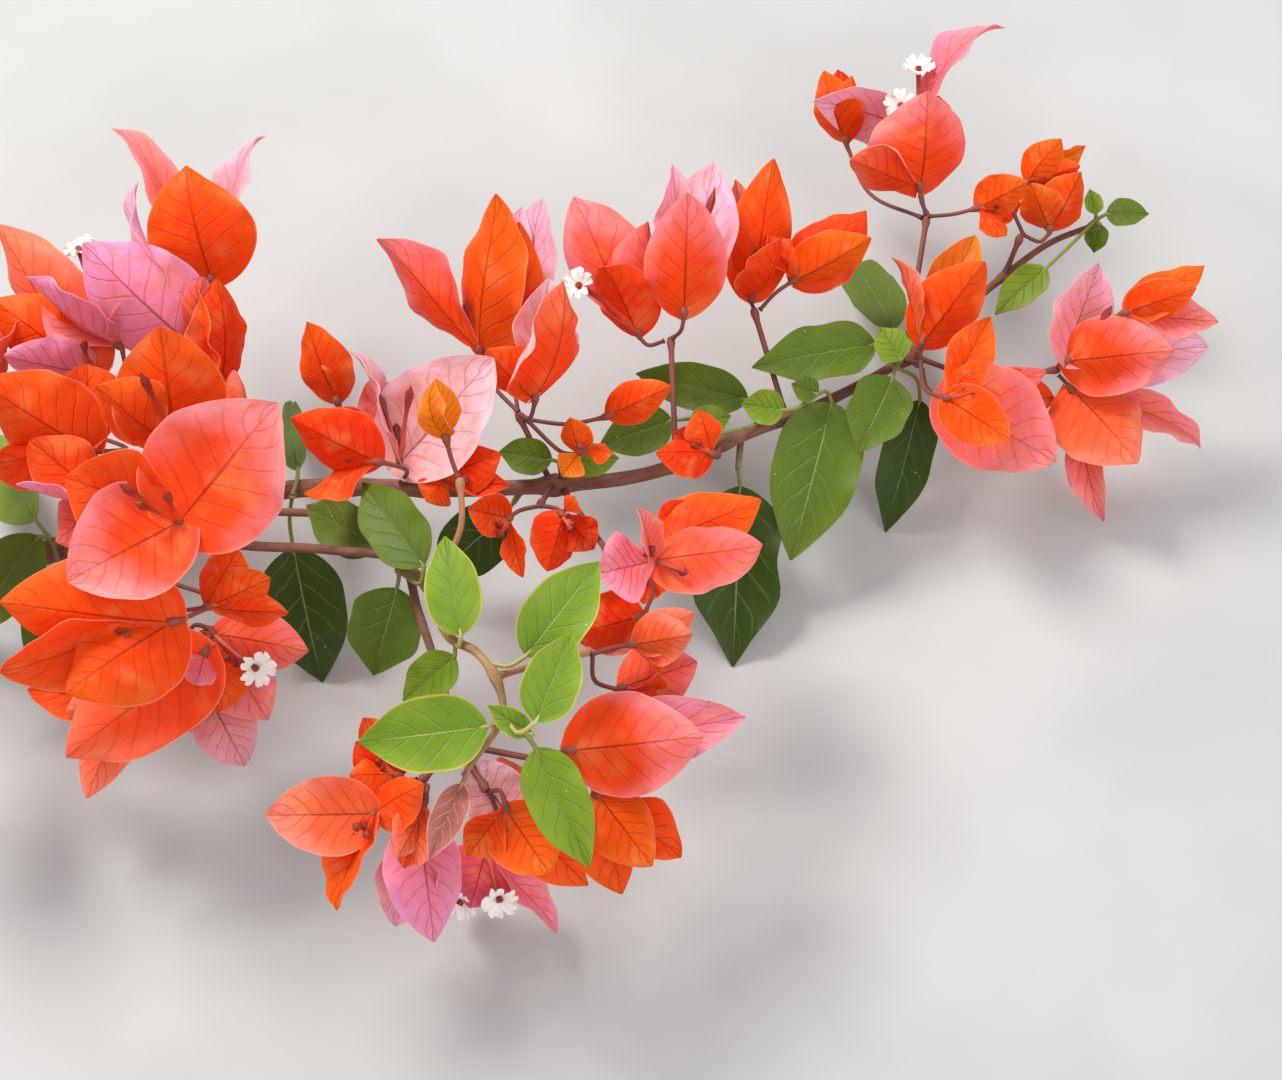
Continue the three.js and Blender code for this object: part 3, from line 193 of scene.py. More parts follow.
# %% [markdown]
# ## Tubes
#
# Stems, stalks and the flowers' own tubes are rings of points carried along a curve. Blender's curve
# objects with a bevel make tubes too, but rings made here can swell at a joint, carry the furrows of the
# bark and close at both ends. The curve runs through its points at a pace set by their distance, which
# keeps it from looping where two of them are close.

# %% Smooth curves
CURVE_SAMPLES = 24  # worked out between two points of a curve
LEAST_PACE = 0.01  # keeps two equal points from dividing by nothing


def smooth(points, steps):
    """Evenly spaced places on a curve through points."""
    points = [np.asarray(p, float) for p in points]
    if len(points) == 2:
        shares = np.linspace(0, 1, steps + 1)[:, None]
        return points[0] + (points[1] - points[0]) * shares
    ends = [2 * points[0] - points[1], *points, 2 * points[-1] - points[-2]]
    traced = [points[0][None]]
    share = (np.arange(1, CURVE_SAMPLES + 1) / CURVE_SAMPLES)[:, None]
    for a, b, c, d in zip(ends, ends[1:], ends[2:], ends[3:]):
        spans = ((a, b), (b, c), (c, d))
        before, between, after = (max(np.linalg.norm(q - p) ** 0.5, LEAST_PACE) for p, q in spans)
        leave = ((b - a) / before - (c - a) / (before + between) + (c - b) / between) * between
        arrive = ((c - b) / between - (d - b) / (between + after) + (d - c) / after) * between
        bend = -3 * b + 3 * c - 2 * leave - arrive
        last = 2 * b - 2 * c + leave + arrive
        traced.append(b + leave * share + bend * share ** 2 + last * share ** 3)
    traced = np.concatenate(traced)
    run = np.concatenate([[0], np.cumsum(np.linalg.norm(np.diff(traced, axis=0), axis=1))])
    even = np.linspace(0, run[-1], steps + 1)
    return np.stack([np.interp(even, run, traced[:, i]) for i in range(3)], 1)


# %% Tubes
TUBE_START = np.array((0.3, 0.5, 0.8))  # the way in which a tube's rings begin


def tube_shape(centres, radii, sides, ridges=None):
    """Points, faces and surface places of a round closed tube. ridges(around, run) scales its radius."""
    centres = np.asarray(centres, float)
    onward = np.gradient(centres, axis=0)
    onward /= np.linalg.norm(onward, axis=1)[:, None]
    normal = TUBE_START
    around = np.arange(sides) / sides * 2 * np.pi
    run = np.concatenate([[0], np.cumsum(np.linalg.norm(np.diff(centres, axis=0), axis=1))])
    rings, places = [], []
    for i, centre in enumerate(centres):
        normal = unit(normal - onward[i] * np.dot(normal, onward[i]))
        across = np.cross(onward[i], normal)
        reach = np.full(sides, float(radii[i]))
        if ridges:
            reach = reach * ridges(around, run[i])
        sideways = np.outer(np.cos(around) * reach, normal) + np.outer(np.sin(around) * reach, across)
        rings.append(centre + sideways)
        places.append(np.stack([np.abs(around / np.pi - 1), np.full(sides, run[i] / run[-1])], 1))
    points = np.concatenate(rings + [centres[:1], centres[-1:]])
    places = np.concatenate(places + [[[0.5, 0]], [[0.5, 1]]])
    faces = []
    for i in range(len(centres) - 1):
        for k in range(sides):
            after = (k + 1) % sides
            faces.append((i * sides + k, i * sides + after, (i + 1) * sides + after, (i + 1) * sides + k))
    first, last = len(points) - 2, len(points) - 1
    end = (len(centres) - 1) * sides
    for k in range(sides):
        after = (k + 1) % sides
        faces.append((first, after, k))
        faces.append((last, end + k, end + after))
    return points, faces, places


# %% [markdown]
# ## Blades
#
# A bract or a leaf is a sheet that bends along its rib, cups across it and narrows to a point. Cloth
# could be simulated into such folds, but each blade would have to be cut, pinned and baked, and would
# not keep to its place. Here the rib is traced by an angle that changes along its length, and the
# section across it is an arc. The sheet then gets what makes it look grown: a keel under the rib, a
# faint quilting between the side veins, a waved margin, and a slow twist towards the tip.

# %% Outline and faces of a blade
ROWS = 24  # along a blade
COLUMNS = 16  # across it


def outline(share, root_power, tip_power):
    """How wide a blade is at a share of its length, from 0 at both ends to 1 at its widest."""
    widest = root_power / (root_power + tip_power)
    most = widest ** root_power * (1 - widest) ** tip_power
    return share ** root_power * (1 - share) ** tip_power / most


def sheet_faces(rows, columns):
    """Faces of two sheets of points, back first, and of the rim that joins them."""
    def back(r, c):
        return r * (columns + 1) + c

    def front(r, c):
        return (rows + 1) * (columns + 1) + back(r, c)

    faces = []
    for r in range(rows):
        for c in range(columns):
            faces.append((back(r, c), back(r, c + 1), back(r + 1, c + 1), back(r + 1, c)))
            faces.append((front(r, c), front(r + 1, c), front(r + 1, c + 1), front(r, c + 1)))
        faces.append((back(r, 0), back(r + 1, 0), front(r + 1, 0), front(r, 0)))
        faces.append((back(r, columns), front(r, columns), front(r + 1, columns), back(r + 1, columns)))
    for c in range(columns):
        faces.append((back(0, c), front(0, c), front(0, c + 1), back(0, c + 1)))
        faces.append((back(rows, c), back(rows, c + 1), front(rows, c + 1), front(rows, c)))
    return faces


BLADE_FACES = sheet_faces(ROWS, COLUMNS)
print("faces of a blade:", len(BLADE_FACES))

# %% Section of a blade
SECTION_STEPS = 8  # worked out between two columns of a blade
ROLL_LENGTH = 1.15  # how soon a roll ends, where 1 is at the tip
ROLL_START = 0.35  # share of the way from rib to margin at which a rolled edge begins


def section_shape(cup, roll, rows):
    """A blade's section in each row: places sideways and inwards, and which way its surface turns.

    Across the blade the section turns inwards by `cup`, and near one edge it turns back by `roll`.
    """
    fine = np.linspace(-1, 1, COLUMNS * SECTION_STEPS + 1)
    strength = np.sin(np.pi * np.clip(rows * ROLL_LENGTH, 0, 1)) ** 0.6 * abs(roll)
    side = np.sign(roll)
    turn_back = np.clip((side * fine - ROLL_START) / (1 - ROLL_START), 0, 1) ** 1.3
    turn = cup[:, None] * fine - side * strength[:, None] * turn_back
    step = fine[1] - fine[0]
    halfway = (turn[:, 1:] + turn[:, :-1]) / 2
    zero = np.zeros((len(rows), 1))
    sideways = np.concatenate([zero, np.cumsum(np.cos(halfway), 1) * step], 1)
    inwards = np.concatenate([zero, np.cumsum(np.sin(halfway), 1) * step], 1)
    centre = COLUMNS * SECTION_STEPS // 2
    sideways -= sideways[:, centre:centre + 1]
    inwards -= inwards[:, centre:centre + 1]
    return sideways[:, ::SECTION_STEPS], inwards[:, ::SECTION_STEPS], turn[:, ::SECTION_STEPS]


# %% Rib and relief of a blade
RIB_STEPS = 96
VEIN_LEAN = 0.3  # how far the side veins run forward on their way from rib to margin
QUILT_VEINS = 6.5  # side veins on each half of a blade
KEEL_SPREAD = 0.09  # half width of the keel, as a share of half the blade


def rib_curve(root, along, outward, length, start, bend, flick, share):
    """Places of a blade's rib at shares of its length, and at each the ways inside and onward.

    The rib leaves `root` at the angle `start` from `along`, towards `outward`. It turns by `bend` over its
    length, and by `flick` close to its tip.
    """
    fine = (np.arange(RIB_STEPS) + 0.5) / RIB_STEPS
    angle = np.radians(start + bend * fine + flick * fine ** 4)
    steps = (np.outer(np.cos(angle), along) + np.outer(np.sin(angle), outward)) * length / RIB_STEPS
    rib = np.concatenate([root[None], root + np.cumsum(steps, axis=0)])
    rib_steps = np.arange(RIB_STEPS + 1)
    middle = np.stack([np.interp(share * RIB_STEPS, rib_steps, rib[:, i]) for i in range(3)], 1)
    angle = np.radians(start + bend * share + flick * share ** 4)
    inside = np.outer(np.sin(angle), along) - np.outer(np.cos(angle), outward)
    onward = np.outer(np.cos(angle), along) + np.outer(np.sin(angle), outward)
    return middle, inside, onward


def with_relief(lift, s, t, half, width, wave, keel, quilt, seed):
    """Adds the keel, the quilting between side veins and the waved margin to a blade's lift."""
    edge = np.abs(t)
    lift = lift - keel * np.exp(-(t / KEEL_SPREAD) ** 2) * (1 - s) ** 0.5
    start_of_vein = s - VEIN_LEAN * edge
    vein = 0.5 + 0.5 * np.cos(2 * np.pi * (start_of_vein * QUILT_VEINS + 0.5 * (t > 0) + chance(seed + 1)))
    lift -= quilt * vein ** 3 * np.sin(np.pi * np.clip(edge, 0, 1)) * half / (width / 2)
    ripple = np.sin(2 * np.pi * (s * (1.6 + chance(seed + 2)) + chance(seed + 3)) + 2.2 * (t > 0))
    ripple += 0.5 * np.sin(2 * np.pi * (s * (3.7 + chance(seed + 4)) + chance(seed + 5)) + 1.3 * (t > 0))
    lift += wave * ripple * edge ** 2.5 * np.sin(np.pi * s) ** 0.5
    return lift


# %% Blades
BLADE_SKIN = 0.32  # thickness of the sheet, millimetres
LEAST_HALF = 0.35  # half of a blade's width at its very ends
TUCK_REACH = 0.6  # share of a blade's length over which a tucked foot widens again


def blade_shape(root, along, outward, length, width, start, bend, cup, powers, seed,
                flick=0.0, tilt=0.0, twist=0.0, wave=0.8, keel=0.35, quilt=0.14, fold=0.0,
                lobe=0.0, roll=0.0, sinuous=0.0, tuck=0.0):
    """Points and surface places of a blade, with its back (away from the bloom's axis) first.

    `tilt` and `twist` turn it about its rib, `sinuous` winds its margin, `lobe` draws its foot back,
    and `tuck` narrows and flattens its foot.
    """
    even = np.linspace(0, 1, ROWS + 1)
    share = 0.5 * even + 0.25 * (1 - np.cos(np.pi * even))
    middle, inside, onward = rib_curve(root, along, outward, length, start, bend, flick, share)
    level = unit(np.cross(along, outward))
    lean = np.radians(tilt + twist * share ** 2)[:, None]
    side = level * np.cos(lean) + inside * np.sin(lean)
    inside = inside * np.cos(lean) - level * np.sin(lean)

    swing = 1 + sinuous * np.sin(2 * np.pi * (2.1 * share - 0.1))
    rise = np.clip(share / TUCK_REACH, 0, 1)
    free = 1 - tuck * (1 - rise ** 2 * (3 - 2 * rise))
    half = np.maximum(width / 2 * outline(share, *powers) * swing * free, LEAST_HALF)[:, None]
    t = np.linspace(-1, 1, COLUMNS + 1)[None, :]
    s = share[:, None]
    edge = np.abs(t)
    sideways, inwards, turn = section_shape(cup * (1 - 0.6 * fold) * free, roll, share)
    lift = half * (inwards + fold * np.tan(cup * 0.45) * edge ** 1.15 * free[:, None])
    lift = with_relief(lift, s, t, half, width, wave, keel, quilt, seed)
    slip = -lobe * width * (1 - tuck) * edge ** 2 * (1 - s) ** 3
    sheet = middle[:, None] + side[:, None] * (half * sideways)[:, :, None]
    sheet += onward[:, None] * slip[:, :, None] + inside[:, None] * lift[:, :, None]
    skin = BLADE_SKIN / 2 * (1 - 0.4 * edge ** 4)
    over = inside[:, None] * np.cos(turn)[:, :, None] - side[:, None] * np.sin(turn)[:, :, None]
    back = sheet - over * skin[:, :, None]
    front = sheet + over * skin[:, :, None]
    places = np.stack(np.broadcast_arrays(t / 2 + 0.5, s), -1).reshape(-1, 2)
    return np.concatenate([back.reshape(-1, 3), front.reshape(-1, 3)]), np.concatenate([places, places])


# %% [markdown]
# ## The plan of the branch
#
# A woody main stem forks into an upper and a lower branch. Thin stalks rise from them to forks, and
# each fork carries a cluster of blooms. These tables say where each limb, fork, bloom and leaf is and
# how it faces, and everything that repeats is worked out from them. A branch could also be grown by
# rules, but then its blooms would stand anywhere.

# %% Table of forks and stems
# A stalk runs from its foot on a branch, in some by way of a middle place, to the fork at its end.
FORKS = {
    "tip": dict(foot=(905, 356, 34), at=(926, 222, 46)),
    "tip_buds": dict(foot=(1004, 276, 34), at=(1019, 240, 42)),
    "elbow": dict(foot=(903, 359, 34), at=(918, 364, 42)),
    "end": dict(foot=(912, 356, 34), via=(985, 378, 36), at=(1054, 370, 36)),
    "back": dict(foot=(786, 417, 35), at=(755, 314, 48)),
    "middle": dict(foot=(676, 463, 38), at=(671, 343, 49)),
    "crown": dict(foot=(552, 485, 40), at=(520, 418, 54)),
    "inner": dict(foot=(430, 488, 40), at=(404, 484, 56)),
    "outer": dict(foot=(347, 487, 40), at=(343, 440, 46)),
    "low": dict(foot=(553, 485, 40), at=(541, 503, 56)),
    "side": dict(foot=(562, 488, 40), at=(607, 551, 58)),
    "red_bud": dict(foot=(722, 446, 36), at=(717, 455, 44)),
    "shoot": dict(foot=(495, 677, 82), via=(540, 664, 74), at=(585, 652, 68)),
    "right": dict(foot=(462, 745, 58), at=(540, 760, 58)),
    "lower": dict(foot=(469, 763, 57), at=(484, 786, 58)),
    "lower_left": dict(foot=(461, 742, 58), at=(424, 778, 56)),
    "young": dict(foot=(428, 586, 68), via=(460, 530, 78), at=(460, 484, 84)),
    "mass_top": dict(foot=(110, 532, 40), via=(170, 450, 46), at=(200, 392, 52)),
    "mass_left": dict(foot=(70, 545, 38), at=(62, 425, 52)),
    "mass_front": dict(foot=(135, 528, 42), at=(172, 580, 58)),
    "mass_low": dict(foot=(120, 532, 40), via=(130, 620, 40), at=(175, 655, 44)),
    "cut_end": dict(foot=(-20, 575, 30), at=(-45, 530, 48)),
}

STEMS = {
    "main_stem": dict(
        path=[(-215, 640, 4), (-120, 612, 13), (-20, 575, 28), (70, 545, 37), (150, 526, 42)],
        radii=(4.1, 3.1),
        stub=dict(foot=(140, 526, 42), via=(230, 512, 46), at=(315, 513, 52), radii=(1.4, 1.1)),
        forks=["mass_top", "mass_left", "mass_front", "mass_low", "cut_end"],
    ),
    "upper_branch": dict(
        path=[(158, 522, 42), (275, 492, 40), (350, 487, 40), (450, 489, 40), (555, 485, 40),
            (650, 473, 38), (740, 437, 36), (830, 400, 34), (905, 358, 34), (1004, 276, 34),
            (1050, 243, 35), (1092, 226, 37)],
        radii=(2.9, 0.9),
        forks=["inner", "outer", "crown", "low", "side", "middle", "red_bud", "back", "elbow", "end",
            "tip", "tip_buds"],
    ),
    "lower_branch": dict(
        path=[(146, 527, 43), (240, 545, 53), (330, 550, 60), (400, 562, 62), (418, 610, 62),
            (437, 668, 60), (462, 745, 58), (470, 765, 57)],
        radii=(1.5, 1.0),
        forks=["lower", "lower_left", "right"],
    ),
}

YOUNG_SHOOT = dict(
    path=[(402, 565, 64), (428, 586, 68), (449, 637, 76), (476, 652, 80), (495, 677, 82),
        (503, 707, 80), (497, 728, 78), (475, 759, 74), (463, 776, 72)],
    radii=(1.6, 0.7),
    forks=["shoot", "young"],
)

print("forks:", len(FORKS), "stems:", len(STEMS) + 1)

# %% Table of blooms
# `at` is where the bracts of a bloom meet, `axis` the way it opens (right, up, toward the viewer). A
# tip has its place in the picture and how many millimetres nearer to the viewer it is than `at`. `face`
# turns the inner side of a bract away from the viewer, in degrees. Blooms beyond the picture's edge have
# a habit instead, and a closed one is a bud.
BLOOMS = {
    "bloom_tip": [
        dict(fork="tip", at=(920, 186, 52), axis=(0, 1, 0.15), bracts=[
            dict(tip=(928, 92, 11), width=33, face=-165, bend=-40, cup=0.8),
            dict(tip=(850, 160, 6), width=25, face=135, cup=0.9),
            dict(tip=(938, 96, -13), width=20, face=-25)]),
        dict(fork="tip", at=(977, 208, 50), axis=(1, 0.3, 0.2), bracts=[
            dict(tip=(1028, 182, 6), width=14, face=-165, bend=-40, cup=0.9),
            dict(tip=(1006, 236, 5), width=11, face=150, bend=-50, cup=0.9),
            dict(tip=(1020, 204, -6), width=13, face=0, bend=-40)])],
    "bloom_tip_pink": [
        dict(fork="tip", at=(918, 133, 44), axis=(-0.1, 1, 0.45), bracts=[
            dict(tip=(814, 101, 10), width=18, face=-32, bend=-50, flick=0, cup=0.5),
            dict(tip=(1005, 28, 2), width=19, face=-55, bend=75, flick=20, cup=0.6),
            dict(tip=(868, 152, 2), width=13, face=20)],
            flowers=[dict(tip=(919, 66, 4), open=True), dict(tip=(900, 104, 9), open=True)])],
    "bloom_tip_left": [
        dict(fork="tip", at=(846, 140, 44), axis=(-0.15, 1, 0.1), bracts=[
            dict(tip=(824, 71, 5), width=17, face=150, bend=-60, flick=15, cup=0.95),
            dict(tip=(852, 76, 1), width=15, face=-140, bend=-60, flick=15, cup=0.95),
            dict(tip=(838, 70, -7), width=15, face=0, bend=-50, cup=0.9)])],
    "bloom_tip_buds": [
        dict(fork="tip_buds", at=(1027, 182, 52), axis=(0.8, 0.7, 0.2), bracts=[
            dict(tip=(1061, 139, 6), width=13, face=165, bend=-45, cup=0.9),
            dict(tip=(1085, 146, -4), width=11, face=40),
            dict(tip=(1080, 166, 4), width=11, face=-150)]),
        dict(fork="tip_buds", at=(1050, 228, 45), axis=(0.15, 1, 0.1), bracts=[
            dict(tip=(1081, 172, 5), width=17, face=-165, bend=-50, cup=0.95),
            dict(tip=(1031, 183, 6), width=14, face=150, bend=-50, cup=0.95),
            dict(tip=(1056, 176, -7), width=14, face=0, bend=-40)])],
    "bloom_elbow": [
        dict(fork="elbow", at=(922, 343, 48), axis=(0.3, 1, 0.4), bracts=[
            dict(tip=(985, 262, 10), width=21, face=-165, bend=-25, cup=0.8),
            dict(tip=(892, 258, 6), width=12, face=110, bend=-10, flick=50),
            dict(tip=(975, 236, -10), width=20, face=10)]),
        dict(fork="elbow", at=(946, 398, 53), axis=(0.7, -0.1, 1), bracts=[
            dict(tip=(986, 357, 4), width=11, face=150),
            dict(tip=(1010, 440, 6), width=16, face=8, bend=-10, cup=0.5),
            dict(tip=(990, 317, -6), width=15, face=0)])],
    "bloom_elbow_low": [
        dict(fork="elbow", at=(946, 398, 36), axis=(1, -0.2, 0.2), bracts=[
            dict(tip=(1056, 462, 4), width=33, face=-12, bend=-25, cup=0.7),
            dict(tip=(1046, 371, 0), width=17, face=150, bend=-30),
            dict(tip=(1054, 398, -10), width=22, face=20)])],
    "bloom_end": [
        dict(fork="end", at=(1066, 361, 44), axis=(0.9, 0.4, 0.4), bracts=[
            dict(tip=(1098, 263, -2), width=21, face=22, bend=-20, cup=0.6),
            dict(tip=(1174, 351, 11), width=24, face=-165, bend=-20, cup=0.8),
            dict(tip=(1208, 347, -12), width=24, face=-18, bend=-15, cup=0.6)],
            flowers=[dict(tip=(1112, 306, 3))]),
        dict(fork="end", at=(1126, 312, 54), axis=(1, 0.35, 0.2), bracts=[
            dict(tip=(1204, 266, 4), width=14, face=165, bend=-35),
            dict(tip=(1196, 288, 9), width=13, face=-165, bend=-35),
            dict(tip=(1218, 322, 0), width=14, face=-20)])],
    "bloom_end_low": [
        dict(fork="end", at=(1072, 390, 33), axis=(0.55, -0.75, 0.1), bracts=[
            dict(tip=(1138, 463, 10), width=29, face=176, bend=-30, flick=10, cup=0.75),
            dict(tip=(1200, 448, -9), width=14, face=-30, bend=20, flick=40),
            dict(tip=(1104, 521, -9), width=13, face=30, bend=15, flick=40)])],
    "bloom_back": [
        dict(fork="back", at=(752, 297, 46), axis=(0.1, 1, 0.05), bracts=[
            dict(tip=(774, 159, 4), width=20, face=-170, bend=-15, flick=30, cup=0.85),
            dict(tip=(781, 238, 13), width=18, face=-118, bend=-60, cup=0.9),
            dict(tip=(735, 180, -9), width=20, face=42)])],
    "bloom_back_right": [
        dict(fork="back", at=(795, 280, 52), axis=(0.9, 0.5, 0.1), bracts=[
            dict(tip=(866, 211, 3), width=21, face=160, bend=-40, cup=0.9),
            dict(tip=(871, 238, 9), width=18, face=-155, bend=-45, cup=0.9),
            dict(tip=(768, 236, -3), width=14, face=30)])],
    "bloom_middle": [
        dict(fork="middle", at=(684, 312, 60), axis=(0.02, 1, 0.2), bracts=[
            dict(tip=(688, 193, 12), width=25, face=180, bend=-30, flick=20, cup=0.85),
            dict(tip=(672, 165, -9), width=20, face=35, bend=-20, flick=20),
            dict(tip=(714, 163, -12), width=27, face=-15, bend=-15, flick=10, cup=0.6)],
            flowers=[dict(tip=(715, 187, 3))])],
    "bloom_middle_left": [
        dict(fork="middle", at=(638, 332, 50), axis=(-0.3, 1, 0.15), bracts=[
            dict(tip=(603, 267, 13), width=20, face=150, bend=-10, flick=45, cup=0.85),
            dict(tip=(648, 222, -1), width=25, face=-135, bend=-45, cup=0.9),
            dict(tip=(574, 197, -8), width=28, face=15, bend=-25, cup=0.7)],
            flowers=[dict(tip=(577, 284, 12), open=True)])],
    "bloom_crown": [
        dict(fork="crown", at=(480, 350, 60), axis=(-0.2, 1, 0.1), bracts=[
            dict(tip=(496, 194, 11), width=26, face=150, bend=-40, flick=40, cup=0.85),
            dict(tip=(377, 239, 2), width=26, face=142, bend=-25, flick=40, cup=0.7),
            dict(tip=(522, 208, -9), width=18, face=10, bend=-20)]),
        dict(fork="crown", at=(514, 350, 56), axis=(0.03, 1, 0.12), bracts=[
            dict(tip=(519, 222, 10), width=18, face=-175, bend=-30),
            dict(tip=(543, 199, -5), width=21, face=-30, bend=-20, flick=30)],
            flowers=[dict(tip=(527, 262, 4))])],
    "bloom_crown_front": [
        dict(fork="crown", at=(535, 398, 68), axis=(0.1, 1, 0.4), bracts=[
            dict(tip=(563, 282, 9), width=28, face=-138, bend=-65, flick=0, cup=0.9),
            dict(tip=(487, 349, 9), width=20, face=150, bend=-40, flick=10, cup=0.9),
            dict(tip=(549, 279, -6), width=21, face=20, bend=-20, flick=10, cup=0.7)],
            flowers=[dict(tip=(549, 306, 6))])],
    "bloom_crown_small": [
        dict(fork="crown", at=(607, 416, 56), axis=(1, 0.35, 0.2), bracts=[
            dict(tip=(671, 386, 4), width=13, face=-170, bend=-45, flick=20, cup=0.9),
            dict(tip=(650, 386, -3), width=12, face=120, bend=-40)]),
        dict(fork="crown", at=(580, 452, 60), axis=(0.3, 0.3, 1), bracts=[
            dict(tip=(570, 418, 3), width=10, face=160, bend=-40, flick=30),
            dict(tip=(613, 452, 1), width=8, face=140),
            dict(tip=(562, 476, 3), width=10, face=0, bend=-20)])],
    "bloom_inner": [
        dict(fork="inner", at=(400, 462, 62), axis=(0, 1, 0.45), bracts=[
            dict(tip=(350, 351, 4), width=15, face=82, bend=-15, flick=50),
            dict(tip=(494, 358, 5), width=31, face=-14, bend=-25, cup=0.6),
            dict(tip=(372, 378, -5), width=19, face=15, bend=-15)],
            flowers=[dict(tip=(379, 393, 5)), dict(tip=(411, 386, 5))])],
    "bloom_inner_left": [
        dict(fork="inner", at=(378, 462, 76), axis=(-1, 0.1, 0.4), bracts=[
            dict(tip=(291, 418, 5), width=19, face=165, bend=-40, flick=10, cup=0.9),
            dict(tip=(304, 494, 2), width=13, face=-140, bend=-20),
            dict(tip=(332, 408, -5), width=15, face=30, bend=-30)])],
    "bloom_inner_right": [
        dict(fork="inner", at=(446, 478, 64), axis=(1, 0.2, 0.5), bracts=[
            dict(tip=(501, 454, 3), width=14, face=160, bend=-50),
            dict(tip=(427, 502, 3), width=12, face=175, bend=-40),
            dict(tip=(509, 486, 2), width=9, face=0, bend=-30)])],
    "bloom_outer": [
        dict(fork="outer", at=(337, 401, 50), axis=(-0.35, 1, 0.1), bracts=[
            dict(tip=(307, 322, 5), width=16, face=165, bend=-45, cup=0.95),
            dict(tip=(338, 344, 0), width=13, face=-120, bend=-60),
            dict(tip=(314, 330, -6), width=13, face=20, bend=-40)])],
    "bloom_young": [
        dict(fork="young", at=(446, 438, 91), axis=(-0.2, 1, 0.3), bracts=[
            dict(tip=(436, 379, 4), width=13, face=-155, bend=-60, flick=10, cup=1),
            dict(tip=(433, 382, 6), width=10, face=120, bend=-75, flick=10, cup=1),
            dict(tip=(430, 386, -4), width=11, face=20, bend=-60)])],
    "bloom_low": [
        dict(fork="low", at=(509, 518, 64), axis=(-0.3, -0.4, 1), bracts=[
            dict(tip=(468, 509, 3), width=12, face=0, bend=-20),
            dict(tip=(523, 577, 3), width=9, face=30, bend=-10)]),
        dict(fork="low", at=(562, 514, 60), axis=(0.2, -0.4, 1), bracts=[
            dict(tip=(547, 571, 6), width=15, face=150, bend=-40),
            dict(tip=(575, 497, 2), width=8, face=150),
            dict(tip=(594, 549, -1), width=13, face=0, bend=-20)])],
    "bloom_red_bud": [
        dict(fork="red_bud", at=(712, 454, 50), axis=(-0.9, 0.3, 0.5), bracts=[
            dict(tip=(656, 453, 3), width=14, face=-160, bend=-45, cup=0.95),
            dict(tip=(699, 410, 2), width=13, face=-170, bend=-45, cup=0.95),
            dict(tip=(674, 432, -3), width=11, face=20)])],
    "bloom_side": [
        dict(fork="side", at=(655, 561, 66), axis=(0.1, 0, 1), bracts=[
            dict(tip=(762, 545, 6), width=21, face=155, bend=-10, flick=25, cup=0.85),
            dict(tip=(598, 574, 4), width=21, face=5, bend=-10, cup=0.5),
            dict(tip=(637, 509, 7), width=11, face=60, bend=-10, flick=30)],
            flowers=[dict(tip=(688, 574, 6))]),
        dict(fork="side", at=(654, 546, 56), axis=(0.9, 0.4, 0.2), bracts=[
            dict(tip=(761, 500, 2), width=21, face=172, bend=-30, cup=0.85),
            dict(tip=(644, 604, 2), width=15, face=0, bend=-20),
            dict(tip=(700, 506, -8), width=16, face=10)]),
        dict(fork="side", at=(640, 616, 54), axis=(-0.7, -0.4, 0.3), bracts=[
            dict(tip=(573, 636, 4), width=18, face=175, bend=-25),
            dict(tip=(596, 652, -3), width=12, face=0),
            dict(tip=(590, 606, -4), width=13, face=20)])],
    "bloom_shoot": [
        dict(fork="shoot", at=(632, 644, 70), axis=(1, 0.2, 0.5), bracts=[
            dict(tip=(694, 613, 4), width=12, face=165, bend=-45, flick=25, cup=0.9),
            dict(tip=(692, 634, 8), width=14, face=-170, bend=-45, flick=20, cup=0.9),
            dict(tip=(680, 650, -3), width=12, face=-30)]),
        dict(fork="shoot", at=(622, 688, 58), axis=(1, 0.2, 0.3), bracts=[
            dict(tip=(697, 662, 3), width=19, face=170, bend=-40, cup=0.9),
            dict(tip=(676, 700, 0), width=15, face=-120),
            dict(tip=(680, 680, -8), width=16, face=0)])],
    "bloom_right": [
        dict(fork="right", at=(571, 750, 60), axis=(1, 0.12, 0.2), bracts=[
            dict(tip=(703, 737, 9), width=27, face=-176, bend=-28, flick=20, cup=0.75),
            dict(tip=(745, 717, -6), width=20, face=-12, bend=-10, flick=20, cup=0.6),
            dict(tip=(644, 700, -10), width=18, face=20, bend=-30)])],
    "bloom_right_low": [
        dict(fork="right", at=(597, 794, 50), axis=(0.6, -0.9, 0.1), bracts=[
            dict(tip=(652, 866, 8), width=18, face=172, bend=-30, cup=0.8),
            dict(tip=(681, 857, -3), width=18, face=-30, bend=-20),
            dict(tip=(622, 894, 0), width=21, face=150, bend=-35, cup=0.9)])],
    "bloom_lower_left": [
        dict(fork="lower_left", at=(374, 814, 58), axis=(-0.3, -0.5, 1), bracts=[
            dict(tip=(266, 815, 0), width=20, face=0, bend=10, flick=10, cup=0.5),
            dict(tip=(337, 910, 2), width=15, face=40, bend=15, flick=20, cup=0.8),
            dict(tip=(424, 784, 4), width=15, face=150, bend=-40)],
            flowers=[dict(tip=(354, 829, 9)), dict(tip=(366, 838, 9))]),
        dict(fork="lower_left", at=(398, 776, 56), axis=(-0.8, 0.5, 0.3), bracts=[
            dict(tip=(363, 718, 2), width=14, face=165, bend=-40),
            dict(tip=(350, 775, 5), width=12, face=-150, bend=-30),
            dict(tip=(356, 742, -5), width=14, face=0)])],
    "bloom_lower_pink": [
        dict(fork="lower_left", at=(419, 826, 40), axis=(-0.1, -1, 0), bracts=[
            dict(tip=(434, 942, 6), width=21, face=165, bend=-20, flick=10, cup=0.7),
            dict(tip=(441, 906, -1), width=12, face=-100, bend=-20),
            dict(tip=(396, 926, -7), width=18, face=10)]),
        dict(fork="lower_left", at=(424, 802, 60), axis=(-0.3, -1, 0.4), bracts=[
